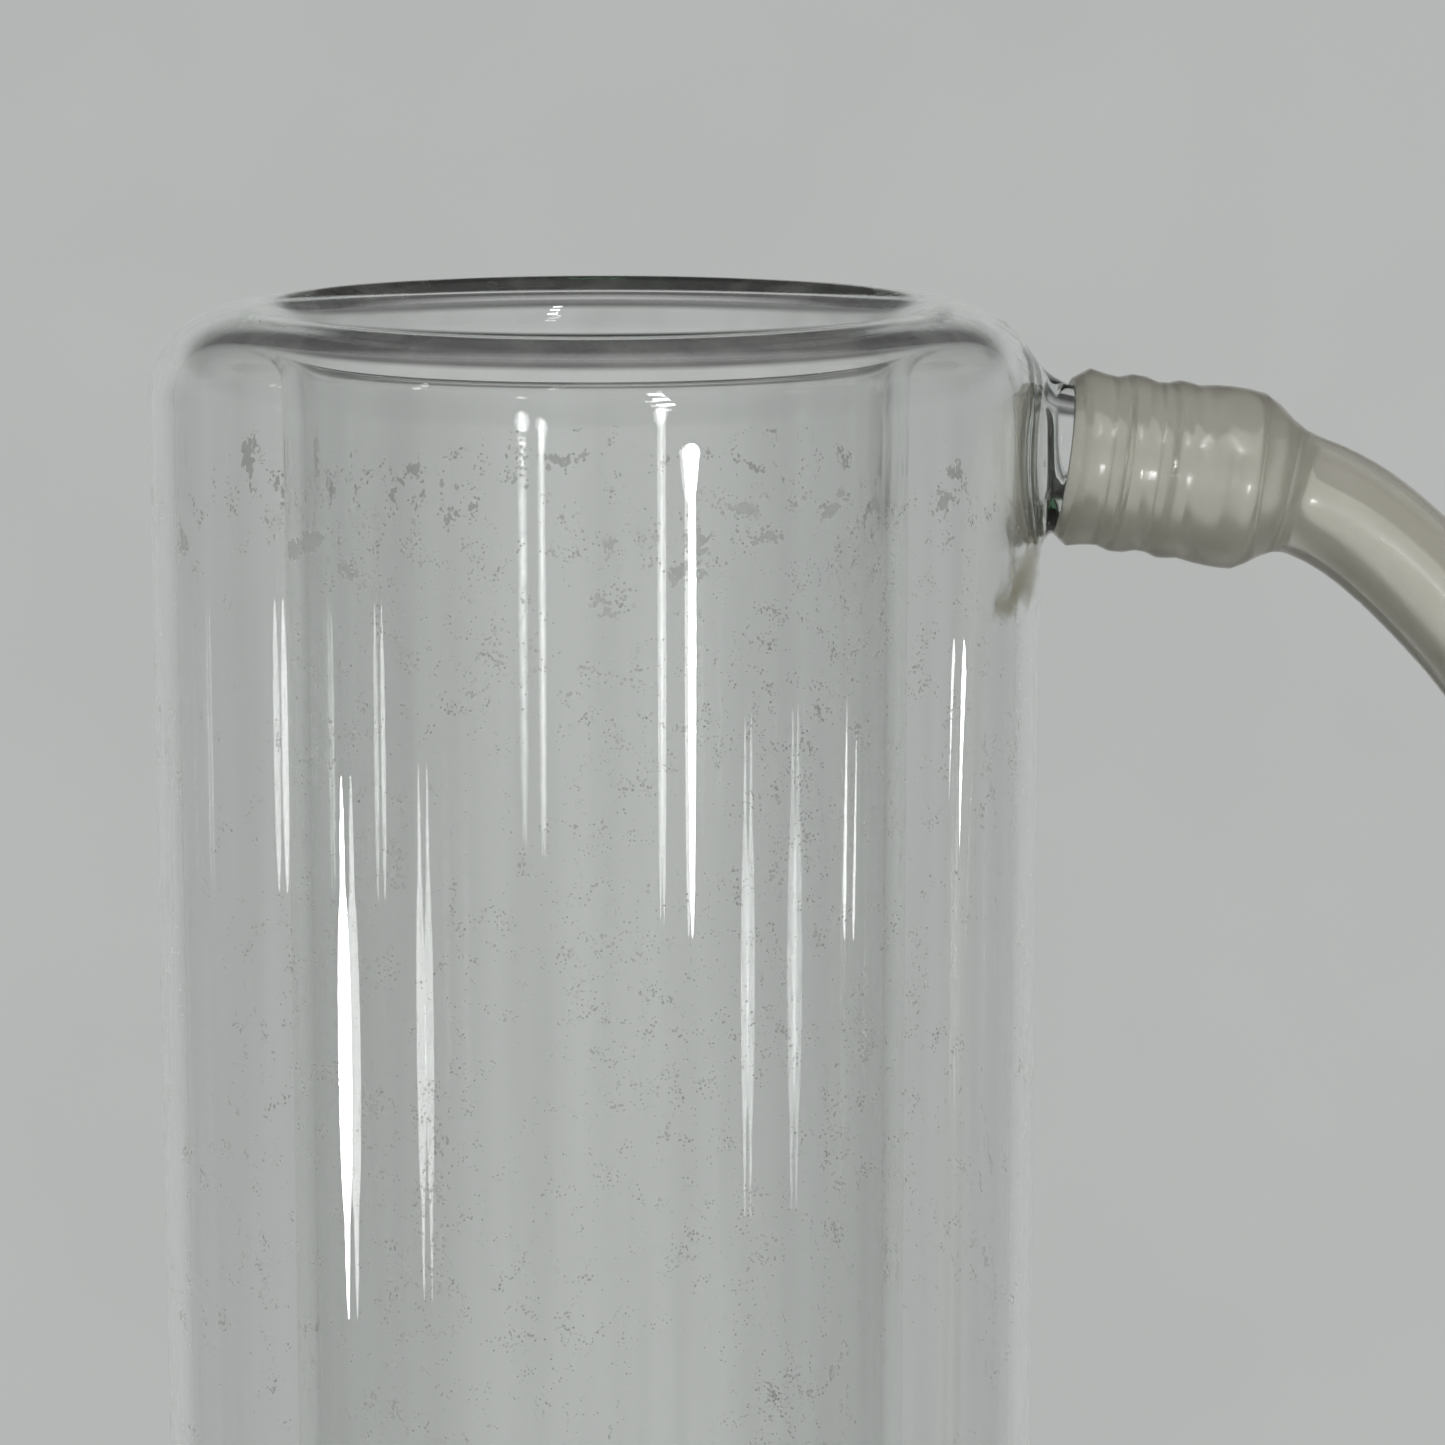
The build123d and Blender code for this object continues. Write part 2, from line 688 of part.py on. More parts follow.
save(flask_bulb(), "flask_bulb")
save(flask_neck_tube(), "flask_neck_tube")
save(boiling_stones(), "boiling_stones")
save(extractor_stem(), "extractor_stem")
save(extractor_chamber(), "extractor_chamber")
save(extractor_socket(), "extractor_socket")
save(
    side_tube(VAPOUR_ROUTE, VAPOUR_BENDS, VAPOUR_R, VAPOUR_WALL, [chamber_outside(), stem_outside()]),
    "vapour_arm",
)
save(
    side_tube(SIPHON_ROUTE, SIPHON_BENDS, SIPHON_R, SIPHON_WALL, [chamber_outside(), stem_outside()]),
    "siphon_tube",
)
save(thimble(), "thimble")
save(wool_plug(), "wool_plug")

save(drill_jacket(condenser_jacket()), "condenser_jacket")
save(condenser_inner_tube(), "condenser_inner_tube")
save(condenser_cone(), "condenser_cone")
save(nipple(RIM_Z - OUTLET_AXIS_DROP), "outlet_nipple")
save(nipple(INLET_AXIS_Z), "inlet_nipple")
sleeve = hose_sleeve()
coil = hose_coil()
save(sleeve, "hose_sleeve")
save(coil, "hose_coil")
save(outlet_hose(sleeve, coil), "outlet_hose")
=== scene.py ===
import math

import bmesh
import bpy
from mathutils import Matrix, Vector


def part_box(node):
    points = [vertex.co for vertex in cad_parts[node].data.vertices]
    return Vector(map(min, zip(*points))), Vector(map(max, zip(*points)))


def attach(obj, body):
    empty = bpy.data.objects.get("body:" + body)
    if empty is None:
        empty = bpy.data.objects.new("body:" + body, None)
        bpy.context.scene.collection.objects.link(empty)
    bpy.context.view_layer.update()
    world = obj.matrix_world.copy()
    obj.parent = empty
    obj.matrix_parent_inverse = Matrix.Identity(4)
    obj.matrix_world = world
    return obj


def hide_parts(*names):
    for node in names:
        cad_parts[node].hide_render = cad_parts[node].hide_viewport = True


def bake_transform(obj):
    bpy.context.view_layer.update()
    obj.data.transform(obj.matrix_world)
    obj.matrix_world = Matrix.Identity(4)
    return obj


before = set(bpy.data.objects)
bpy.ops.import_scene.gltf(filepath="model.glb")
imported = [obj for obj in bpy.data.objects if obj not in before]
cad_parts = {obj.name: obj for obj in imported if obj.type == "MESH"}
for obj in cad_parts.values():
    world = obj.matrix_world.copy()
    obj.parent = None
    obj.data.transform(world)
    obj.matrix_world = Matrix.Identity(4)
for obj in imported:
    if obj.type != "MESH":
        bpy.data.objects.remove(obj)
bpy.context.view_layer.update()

MM = 0.001
rim_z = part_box("condenser_jacket")[1][2]
scene = bpy.context.scene


# ================================================================ the set
# A pale bench, grey surroundings that darken at the sides, a dark card above eye level, slim
# upright lights round the condenser, three small panels overhead and a wide soft fill that makes
# no reflections. The camera stands close, a little above the condenser's rim.
def lit_strip(name, azimuth, low, high, width, power, distance=0.8, shape="ELLIPSE"):
    """An upright light round the condenser. Angles in degrees: azimuth from the camera's side
    towards +X, low and high up or down from the rim as the condenser sees them, width across."""
    turn = math.radians(azimuth)
    top = distance * math.tan(math.radians(high))
    foot = distance * math.tan(math.radians(low))
    light = bpy.data.lights.new(name, "AREA")
    light.shape = shape
    light.size = 2 * distance * math.tan(math.radians(width / 2))
    light.size_y = top - foot
    light.energy = power
    lamp = bpy.data.objects.new(name, light)
    scene.collection.objects.link(lamp)
    lamp.location = (distance * math.sin(turn), -distance * math.cos(turn), rim_z + (top + foot) / 2)
    lamp.rotation_euler = (math.pi / 2, 0, turn)
    lamp.visible_camera = False


lit_strip("right_strip", 23.2, -14.5, -5.0, 1.9, 0.5)
lit_strip("right_strip_head", 23.0, -7.6, -5.0, 4.2, 0.5)
lit_strip("left_strip", -67.0, -20.5, -12.0, 2.0, 0.6)
lit_strip("left_strip_heart", -67.0, -19.2, -13.6, 4.0, 1.0)
lit_strip("far_right_strip", 106.0, -15.0, -10.0, 3.0, 0.2)
for panel in range(3):
    lit_strip(f"ceiling_panel_{panel}", 20.0, 38 + 7 * panel, 41 + 7 * panel, 5.0, 1.4, 1.2, "RECTANGLE")

fill_light = bpy.data.lights.new("fill", "AREA")
fill_light.size = 1.0
fill_light.energy = 8.0
fill = bpy.data.objects.new("fill", fill_light)
scene.collection.objects.link(fill)
fill.location = (0.5, -1.1, rim_z + 0.7)
fill.rotation_euler = (math.radians(60), 0, math.radians(24))
fill.visible_camera = False
fill.visible_glossy = False
fill.visible_transmission = False

world = bpy.data.worlds.new("soft_room")
scene.world = world
world.use_nodes = True
nodes, links = world.node_tree.nodes, world.node_tree.links
room = nodes["Background"]
direction = nodes.new("ShaderNodeTexCoord")
split = nodes.new("ShaderNodeSeparateXYZ")
height = nodes.new("ShaderNodeMapRange")
height.inputs["From Min"].default_value = -1
bands = nodes.new("ShaderNodeValToRGB")
links.new(direction.outputs["Generated"], split.inputs[0])
links.new(split.outputs["Z"], height.inputs["Value"])
links.new(height.outputs[0], bands.inputs[0])
wall_grey = (0.465, 0.475, 0.468, 1)
dark_card = (0.06, 0.06, 0.06, 1)
bands.color_ramp.elements[0].position = 0.0
bands.color_ramp.elements[0].color = (0.3, 0.3, 0.3, 1)
bands.color_ramp.elements[1].position = 1.0
bands.color_ramp.elements[1].color = (0.5, 0.5, 0.5, 1)
for position, grey in ((0.1, wall_grey), (0.60, wall_grey), (0.66, dark_card), (0.80, dark_card)):
    bands.color_ramp.elements.new(position).color = grey
seen = nodes.new("ShaderNodeLightPath")
wall = nodes.new("ShaderNodeMix")
wall.data_type = "RGBA"
blotch = nodes.new("ShaderNodeTexNoise")
blotch.inputs["Scale"].default_value = 9.0
blotch.inputs["Detail"].default_value = 3.0
tint = nodes.new("ShaderNodeMapRange")
tint.inputs["From Min"].default_value = 0.35
tint.inputs["From Max"].default_value = 0.7
tint.inputs["To Min"].default_value = 0.97
tint.inputs["To Max"].default_value = 1.02
shaded = nodes.new("ShaderNodeVectorMath")
shaded.operation = "SCALE"
shaded.inputs[0].default_value = wall_grey[:3]
links.new(direction.outputs["Generated"], blotch.inputs["Vector"])
links.new(blotch.outputs[0], tint.inputs["Value"])
links.new(tint.outputs[0], shaded.inputs["Scale"])
sideways = nodes.new("ShaderNodeMath")
sideways.operation = "ABSOLUTE"
flank = nodes.new("ShaderNodeMapRange")
flank.interpolation_type = "SMOOTHSTEP"
flank.inputs["From Min"].default_value = 0.45
flank.inputs["From Max"].default_value = 0.97
flank.inputs["To Min"].default_value = 1.05
flank.inputs["To Max"].default_value = 0.3
dimmed = nodes.new("ShaderNodeVectorMath")
dimmed.operation = "SCALE"
links.new(split.outputs["X"], sideways.inputs[0])
links.new(sideways.outputs[0], flank.inputs["Value"])
links.new(bands.outputs[0], dimmed.inputs[0])
links.new(flank.outputs[0], dimmed.inputs["Scale"])
links.new(seen.outputs["Is Camera Ray"], wall.inputs["Factor"])
links.new(dimmed.outputs[0], wall.inputs["A"])
links.new(shaded.outputs[0], wall.inputs["B"])
links.new(wall.outputs["Result"], room.inputs["Color"])

bench = bmesh.new()
bmesh.ops.create_circle(bench, cap_ends=True, segments=96, radius=1.5)
bench_mesh = bpy.data.meshes.new("bench")
bench.to_mesh(bench_mesh)
bench.free()
bench_top = bpy.data.objects.new("bench", bench_mesh)
scene.collection.objects.link(bench_top)
bench_top.location.z = -0.0003
bench_paint = bpy.data.materials.new("bench_paint")
bench_paint.use_nodes = True
bench_paint.node_tree.nodes["Principled BSDF"].inputs["Base Color"].default_value = (0.62, 0.62, 0.61, 1)
bench_paint.node_tree.nodes["Principled BSDF"].inputs["Roughness"].default_value = 0.6
bench_mesh.materials.append(bench_paint)

focal = 3.2526  # in picture widths
eye_distance = 0.308
eye_above = math.radians(4.74)
look_down = math.radians(9.85)
look_right = math.radians(1.542)
camera_data = bpy.data.cameras.new("camera")
camera_data.sensor_width = 36
camera_data.lens = 36 * focal
camera_data.clip_start = 0.01
camera_data.clip_end = 50
camera = bpy.data.objects.new("camera", camera_data)
scene.collection.objects.link(camera)
camera.location = (0, -eye_distance * math.cos(eye_above), rim_z + eye_distance * math.sin(eye_above))
camera.rotation_euler = (math.pi / 2 - look_down, 0, -look_right)
scene.camera = camera
scene.view_settings.view_transform = "Standard"
scene.cycles.max_bounces = 24
scene.cycles.transmission_bounces = 24
scene.cycles.transparent_max_bounces = 24
scene.cycles.glossy_bounces = 12


# ================================================================ hose nipples, shared sizes
# Both glass nipples are drawn alike: a flared foot on the jacket, a short neck, three barbs and a
# thicker rounded end. They slope down a little, so that the water side can drain.
nipple_tilt = math.radians(7.8)
nipple_end = 43.5 * MM  # all along the nipple, from the condenser's axis
barb_at = (31.7 * MM, 35.0 * MM, 38.0 * MM)
barb_radius = 5.05 * MM
neck_radius = 4.6 * MM
nipple_bore = 3.1 * MM
outlet_z = rim_z - 5.9 * MM  # where the nipple's axis crosses the condenser's axis
inlet_z = 528.0 * MM
nipple_along = Vector((math.cos(nipple_tilt), 0, -math.sin(nipple_tilt)))
nipple_up = Vector((math.sin(nipple_tilt), 0, math.cos(nipple_tilt)))
nipple_side = Vector((0, 1, 0))


def on_nipple(axis_z, along, radius=0.0, turn=0.0):
    """The point that far along a nipple and that far off its axis."""
    off_axis = nipple_up * math.cos(turn) + nipple_side * math.sin(turn)
    return Vector((0, 0, axis_z)) + nipple_along * along + off_axis * radius


# ================================================================ outlet hose
# One length of silicone tubing, 8 mm outside with a 5 mm bore. It is pushed over the upper nipple,
# where it is stretched and shows the barbs, bends down by its own weight, hangs to the bench and
# is put away there in a neat coil of three turns.
hose_radius = 4.0 * MM
hose_bore = 2.5 * MM
floor_z = hose_radius + 0.3 * MM
coil_x, coil_y, coil_radius = 0.116, 0.066, 0.040
coil_turns, coil_pitch, coil_steps = 3, 8.2 * MM, 16
hose_route = [
    on_nipple(outlet_z, 0.0309),
    on_nipple(outlet_z, 0.0374),
    on_nipple(outlet_z, 0.0434),
    (0.0487, 0.0000, rim_z - 0.0134),
    (0.0541, 0.0001, rim_z - 0.0177),
    (0.0608, 0.0000, rim_z - 0.0251),
    (0.0664, -0.0004, rim_z - 0.0357),
    (0.0718, -0.0012, rim_z - 0.0540),
    (0.0774, -0.0022, rim_z - 0.0870),
    (0.0822, -0.0034, 0.612),
    (0.0850, -0.0036, 0.508),
    (0.0842, -0.0020, 0.400),
    (0.0812, 0.0004, 0.292),
    (0.0778, 0.0014, 0.186),
    (0.0760, 0.0004, 0.106),
    (0.0762, 0.0022, 0.052),
    (0.0762, 0.0154, 0.025),
    (0.0760, 0.0380, floor_z),
]
for step in range(coil_turns * coil_steps + 1):
    turned = step / coil_steps
    angle = math.pi - 2 * math.pi * turned
    hose_route.append(
        (
            coil_x + coil_radius * math.cos(angle),
            coil_y + coil_radius * math.sin(angle),
            floor_z + coil_pitch * turned,
        )
    )

hose_line = bpy.data.curves.new("hose_line", "CURVE")
hose_line.dimensions = "3D"
hose_line.resolution_u = 12
spline = hose_line.splines.new("NURBS")
spline.points.add(len(hose_route) - 1)
for point, place in zip(spline.points, hose_route):
    point.co = (*place, 1)
spline.order_u = 3
spline.use_endpoint_u = True
line_object = bpy.data.objects.new("hose_line", hose_line)
scene.collection.objects.link(line_object)
read_line = bpy.data.meshes.new_from_object(line_object)
all_points = [v.co.copy() for v in read_line.vertices]
bpy.data.objects.remove(line_object)
hose_points = [all_points[0]]
for point in all_points[1:]:
    gap = 0.0006 if point.z > rim_z - 0.04 else 0.0022
    if (point - hose_points[-1]).length > gap:
        hose_points.append(point)


def smooth_step(value, low, high):
    share = max(0.0, min(1.0, (value - low) / (high - low)))
    return share * share * (3 - 2 * share)


def stretched_radius(along):
    """Outer radius of the hose that far along the nipple: a thin skin that follows each barb."""
    wall = 0.85 * MM
    skin = neck_radius + 0.15 * MM + wall
    for at in barb_at:
        before = at - along
        reach = 1.1 * MM if before > 0 else 1.9 * MM
        skin = max(skin, barb_radius + wall - 0.5 * MM * (before / reach) ** 2)
    skin = max(skin, barb_radius + wall + 0.1 * MM - 0.1 * MM * ((along - 0.0418) / 0.0016) ** 2)
    rolled = 0.5 * MM * (1 - smooth_step(along, 0.0309, 0.0318))
    past_end = smooth_step(along, nipple_end - 0.4 * MM, nipple_end + 3.4 * MM)
    return (skin - rolled) * (1 - past_end) + hose_radius * past_end


def stretched_bore(along):
    past_end = smooth_step(along, nipple_end, nipple_end + 3.2 * MM)
    return (barb_radius + 0.06 * MM) * (1 - past_end) + hose_bore * past_end


def ring_frames(points):
    """A turned frame at each point, carried along the line without twist."""
    frames = []
    side = Vector((0, 1, 0))
    for index, point in enumerate(points):
        ahead = points[min(index + 1, len(points) - 1)] - points[max(index - 1, 0)]
        ahead.normalize()
        side = (side - ahead * side.dot(ahead)).normalized()
        frames.append((point, side.copy(), ahead.cross(side)))
    return frames


def hose_wall(points, radii, segments):
    """One open tube: a circle extruded from ring to ring."""
    tube = bmesh.new()
    frames = ring_frames(points)
    bmesh.ops.create_circle(tube, segments=segments, radius=1.0)
    circle = [v.co.copy() for v in tube.verts]
    ring = tube.verts[:]
    edges = tube.edges[:]
    for index, ((centre, side, up), radius) in enumerate(zip(frames, radii)):
        if index:
            made = bmesh.ops.extrude_edge_only(tube, edges=edges)["geom"]
            ring = [v for v in made if isinstance(v, bmesh.types.BMVert)]
            edges = [e for e in made if isinstance(e, bmesh.types.BMEdge)]
            edges = [e for e in edges if e.verts[0] in ring and e.verts[1] in ring]
        for vert, spot in zip(ring, circle):
            vert.co = centre + (side * spot.x + up * spot.y) * radius
    return tube


run = [0.0309]
for before, after in zip(hose_points, hose_points[1:]):
    run.append(run[-1] + (after - before).length)
hose_segments = 32
outside = hose_wall(hose_points, [stretched_radius(at) for at in run], hose_segments)
bmesh.ops.recalc_face_normals(outside, faces=outside.faces)
inside = hose_wall(hose_points, [stretched_bore(at) for at in run], hose_segments)
inside_mesh = bpy.data.meshes.new("hose_inside")
inside.to_mesh(inside_mesh)
inside.free()
outside.from_mesh(inside_mesh)
ends = [e for e in outside.edges if e.is_boundary]
for end in (hose_points[0], hose_points[-1]):
    near = [e for e in ends if (e.verts[0].co - end).length < 8 * MM]
    bmesh.ops.bridge_loops(outside, edges=near)
bmesh.ops.recalc_face_normals(outside, faces=outside.faces)
hose_mesh = bpy.data.meshes.new("hose")
outside.to_mesh(hose_mesh)
outside.free()
hose_mesh.shade_smooth()
hose_mesh.set_sharp_from_angle(angle=math.radians(50))
hose = bpy.data.objects.new("hose", hose_mesh)
scene.collection.objects.link(hose)

silicone = bpy.data.materials.new("silicone_tubing")
silicone.use_nodes = True
nodes, links = silicone.node_tree.nodes, silicone.node_tree.links
clear = nodes["Principled BSDF"]
clear.inputs["Transmission Weight"].default_value = 1.0
clear.inputs["IOR"].default_value = 1.36
place = nodes.new("ShaderNodeTexCoord")
cloud = nodes.new("ShaderNodeTexNoise")
cloud.inputs["Scale"].default_value = 260.0
cloud.inputs["Detail"].default_value = 4.0
haze = nodes.new("ShaderNodeMapRange")
haze.inputs["To Min"].default_value = 0.10
haze.inputs["To Max"].default_value = 0.24
amber = nodes.new("ShaderNodeValToRGB")
amber.color_ramp.elements[0].position = 0.35
amber.color_ramp.elements[0].color = (0.955, 0.95, 0.91, 1)
amber.color_ramp.elements[1].position = 0.7
amber.color_ramp.elements[1].color = (0.985, 0.98, 0.955, 1)
links.new(place.outputs["Object"], cloud.inputs["Vector"])
links.new(cloud.outputs[0], haze.inputs["Value"])
links.new(cloud.outputs[0], amber.inputs[0])
links.new(haze.outputs[0], clear.inputs["Roughness"])
links.new(amber.outputs[0], clear.inputs["Base Color"])
milk = nodes.new("ShaderNodeBsdfPrincipled")
milk.inputs["Base Color"].default_value = (0.95, 0.92, 0.78, 1)
milk.inputs["Roughness"].default_value = 0.3
blend = nodes.new("ShaderNodeMixShader")
blend.inputs[0].default_value = 0.2
links.new(clear.outputs[0], blend.inputs[1])
links.new(milk.outputs[0], blend.inputs[2])
links.new(blend.outputs[0], nodes["Material Output"].inputs["Surface"])
hose_mesh.materials.append(silicone)
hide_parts("hose_sleeve", "outlet_hose", "hose_coil")
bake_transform(hose)


# ================================================================ condenser
# Two concentric tubes of borosilicate glass. The outer one is the water jacket; at the top its
# shoulder is rolled over and sealed into the wide inner tube, at the foot it is drawn in and
# sealed again, and a ground cone follows. The water side has dried hard-water scale on it.
jacket_outer, jacket_wall = 29.15 * MM, 1.64 * MM
bore_radius, inner_wall = 19.0 * MM, 1.45 * MM
summit_radius = 22.6 * MM
shoulder_drop, curl_drop, rim_wall = 5.9 * MM, 4.1 * MM, 1.6 * MM
seal_z, seal_rise = 511.0 * MM, 9.0 * MM
tube_outer = bore_radius + inner_wall
cone_foot, cone_top, cone_end = 450.0 * MM, 490.0 * MM, 449.0 * MM
around = 224  # faces round the axis


def bend(centre_r, centre_z, across, up, start, stop, pieces):
    """Points along a stretch of an ellipse, in degrees."""
    points = []
    for piece in range(pieces + 1):
        angle = math.radians(start + (stop - start) * piece / pieces)
        points.append((centre_r + across * math.cos(angle), centre_z + up * math.sin(angle)))
    return points


def straight(radius, start, stop, pieces):
    """Points up or down a tube's wall, without its two ends."""
    return [(radius, start + (stop - start) * piece / pieces) for piece in range(1, pieces)]


def turned_shell(outline, steps, inwards=False):
    """A closed outline of (radius, height) points turned about Z. A cavity's shell faces inwards."""
    shell = bmesh.new()
    verts = [shell.verts.new((radius, 0, z)) for radius, z in outline]
    edges = [shell.edges.new(pair) for pair in zip(verts, verts[1:] + verts[:1])]
    turn = dict(cent=(0, 0, 0), axis=(0, 0, 1), angle=2 * math.pi, steps=steps)
    bmesh.ops.spin(shell, geom=verts + edges, use_merge=True, use_duplicate=False, **turn)
    bmesh.ops.remove_doubles(shell, verts=shell.verts, dist=1e-7)
    bmesh.ops.recalc_face_normals(shell, faces=shell.faces)
    if inwards:
        bmesh.ops.reverse_faces(shell, faces=shell.faces)
    return shell


def joined(first, second):
    """Put the second mesh into the first."""
    carrier = bpy.data.meshes.new("carrier")
    second.to_mesh(carrier)
    second.free()
    first.from_mesh(carrier)
    bpy.data.meshes.remove(carrier)
    return first


shoulder_z = rim_z - shoulder_drop
foot_z = seal_z + seal_rise
skin = (
    bend(summit_radius, shoulder_z, jacket_outer - summit_radius, shoulder_drop, 90, 0, 24)
    + straight(jacket_outer, shoulder_z, 0.736, 18)
    + straight(jacket_outer, 0.736, 0.540, 24)
    + straight(jacket_outer, 0.540, foot_z, 20)
    + bend(tube_outer, foot_z, jacket_outer - tube_outer, seal_rise, 0, -84, 24)
    + [(tube_outer + 0.3 * MM, seal_z - 0.4 * MM), (tube_outer, seal_z - 1.4 * MM), (tube_outer, 0.501)]
    + [(tube_outer + 0.4 * MM, 0.4995), (22.2 * MM, 0.493), (22.4 * MM, 0.4915), (22.4 * MM, cone_top)]
    + [(20.44 * MM, cone_foot + 0.8 * MM), (20.2 * MM, cone_foot), (19.7 * MM, cone_end)]
    + [(19.25 * MM, cone_end), (bore_radius, cone_end + 0.3 * MM)]
    + straight(bore_radius, cone_end + 0.3 * MM, rim_z - curl_drop, 40)
    + bend(summit_radius, rim_z - curl_drop, summit_radius - bore_radius, curl_drop, 180, 90, 18)[:-1]
)
cavity_across = jacket_outer - jacket_wall - summit_radius
cavity = (
    bend(summit_radius, shoulder_z, cavity_across, shoulder_drop - rim_wall, 90, 0, 20)
    + straight(jacket_outer - jacket_wall, shoulder_z, 0.736, 18)
    + straight(jacket_outer - jacket_wall, 0.736, 0.540, 24)
    + straight(jacket_outer - jacket_wall, 0.540, foot_z, 20)
    + bend(tube_outer + 1.2 * MM, foot_z, 5.86 * MM, seal_rise - jacket_wall, 0, -90, 18)
    + bend(tube_outer + 1.2 * MM, seal_z + jacket_wall + 1.2 * MM, 1.2 * MM, 1.2 * MM, -110, -180, 5)
    + straight(tube_outer, seal_z + jacket_wall + 1.2 * MM, rim_z - curl_drop, 40)
    + bend(
        summit_radius, rim_z - curl_drop, summit_radius - tube_outer, curl_drop - rim_wall, 180, 90, 14
    )[:-1]
)


def jacket_radius(z, depth):
    """Radius of the jacket's outer surface at a height, or of its inner one if depth is its wall."""
    if z > shoulder_z:
        rise = shoulder_drop - (rim_wall if depth else 0)
        share = min(0.98, (z - shoulder_z) / rise)
        return summit_radius + (jacket_outer - depth - summit_radius) * math.sqrt(1 - share * share)
    if z < foot_z:
        share = min(0.98, (foot_z - z) / (seal_rise - depth))
        return tube_outer + (jacket_outer - depth - tube_outer) * math.sqrt(1 - share * share)
    return jacket_outer - depth


def foot_point(axis_z, radius, turn, depth, lift):
    """On the jacket where a line beside the nipple's axis meets it, lifted along the nipple."""
    along = jacket_outer
    for _ in range(12):
        spot = on_nipple(axis_z, along, radius, turn)
        reach = jacket_radius(spot.z, depth)
        along += math.sqrt(max(reach**2 - spot.y**2, 1e-8)) - spot.x
    return on_nipple(axis_z, along + lift, radius, turn)


def cut_window(shell, axis_z, radius, depth):
    """Take out the jacket's faces round a nipple's foot and return the edges of the gap."""
    gone = []
    for face in shell.faces:
        middle = face.calc_center_median()
        off_wall = math.hypot(middle.x, middle.y) - jacket_radius(middle.z, depth)
        if middle.x < 0 or abs(off_wall) > 0.4 * MM:
            continue
        away = middle - Vector((0, 0, axis_z))
        if (away - nipple_along * away.dot(nipple_along)).length < radius:
            gone.append(face)
    bmesh.ops.delete(shell, geom=gone, context="FACES")
    return [e for e in shell.edges if e.is_boundary]


def nipple_skin(axis_z):
    """Rings from the jacket's outside, along the nipple, back through its bore to the inside."""
    segments = 64
    turns = [2 * math.pi * step / segments for step in range(segments)]
    rings = []
    for radius, lift in ((7.2, 0), (6.5, 0.04), (5.9, 0.2), (5.4, 0.5), (5.05, 0.95), (4.8, 1.5)):
        rings.append([foot_point(axis_z, radius * MM, turn, 0, lift * MM) for turn in turns])
    profile = [(31.0 * MM, neck_radius)]
    for at in barb_at:
        profile += [(at - 0.6 * MM, neck_radius + 0.05 * MM), (at - 0.3 * MM, neck_radius + 0.3 * MM)]
        profile += [(at, barb_radius), (at + 0.35 * MM, barb_radius - 0.12 * MM)]
        profile += [(at + 1.1 * MM, neck_radius)]
    profile += [(nipple_end - 3.0 * MM, neck_radius), (nipple_end - 2.2 * MM, neck_radius + 0.3 * MM)]
    profile += [(nipple_end - 1.4 * MM, barb_radius), (nipple_end - 0.6 * MM, barb_radius - 0.12 * MM)]
    profile += [(nipple_end - 0.1 * MM, neck_radius - 0.1 * MM), (nipple_end, neck_radius - 0.6 * MM)]
    profile += [(nipple_end - 0.1 * MM, nipple_bore + 0.4 * MM), (nipple_end - 0.5 * MM, nipple_bore)]
    profile += [(37.0 * MM, nipple_bore), (32.0 * MM, nipple_bore)]
    for along, radius in profile:
        rings.append([on_nipple(axis_z, along, radius, turn) for turn in turns])
    for radius, lift in ((3.2, 1.9), (3.4, 1.1), (3.8, 0.5), (4.4, 0.12), (4.9, 0)):
        rings.append([foot_point(axis_z, radius * MM, turn, jacket_wall, lift * MM) for turn in turns])
    return rings


def add_nipple(shell, axis_z):
    """Cut both windows in the jacket, then sew the nipple's skin in from one to the other."""
    outer_gap = cut_window(shell, axis_z, 8.2 * MM, 0)
    inner_gap = [e for e in cut_window(shell, axis_z, 5.7 * MM, jacket_wall) if e not in outer_gap]
    rings = [outer_gap]
    for ring in nipple_skin(axis_z):
        verts = [shell.verts.new(spot) for spot in ring]
        rings.append([shell.edges.new(pair) for pair in zip(verts, verts[1:] + verts[:1])])
    rings.append(inner_gap)
    for first, second in zip(rings, rings[1:]):
        bmesh.ops.bridge_loops(shell, edges=first + second)


def finished(shell, name, sharp=40):
    """The mesh as an object at the origin, smooth but for its sharp edges."""
    mesh = bpy.data.meshes.new(name)
    shell.to_mesh(mesh)
    shell.free()
    mesh.shade_smooth()
    mesh.set_sharp_from_angle(angle=math.radians(sharp))
    made = bpy.data.objects.new(name, mesh)
    scene.collection.objects.link(made)
    return made


glasswork = joined(turned_shell(skin, around), turned_shell(cavity, around, inwards=True))
add_nipple(glasswork, outlet_z)
add_nipple(glasswork, inlet_z)
bmesh.ops.recalc_face_normals(glasswork, faces=glasswork.faces)
condenser = finished(glasswork, "condenser")


def node_group(name, inputs, outputs):
    """An empty shader group with float or colour sockets."""
    group = bpy.data.node_groups.new(name, "ShaderNodeTree")
    for label, kind, value in inputs:
        socket = group.interface.new_socket(label, in_out="INPUT", socket_type=kind)
        socket.default_value = value
    for label, kind in outputs:
        group.interface.new_socket(label, in_out="OUTPUT", socket_type=kind)
    return group, group.nodes.new("NodeGroupInput"), group.nodes.new("NodeGroupOutput")


def maths(tree, operation, first, second=None):
    """One Math node; an argument is a socket or a number."""
    node = tree.nodes.new("ShaderNodeMath")
    node.operation = operation
    for slot, value in enumerate((first, second)):
        if value is None:
            continue
        if isinstance(value, (int, float)):
            node.inputs[slot].default_value = value
        else:
            tree.links.new(value, node.inputs[slot])
    return node.outputs[0]


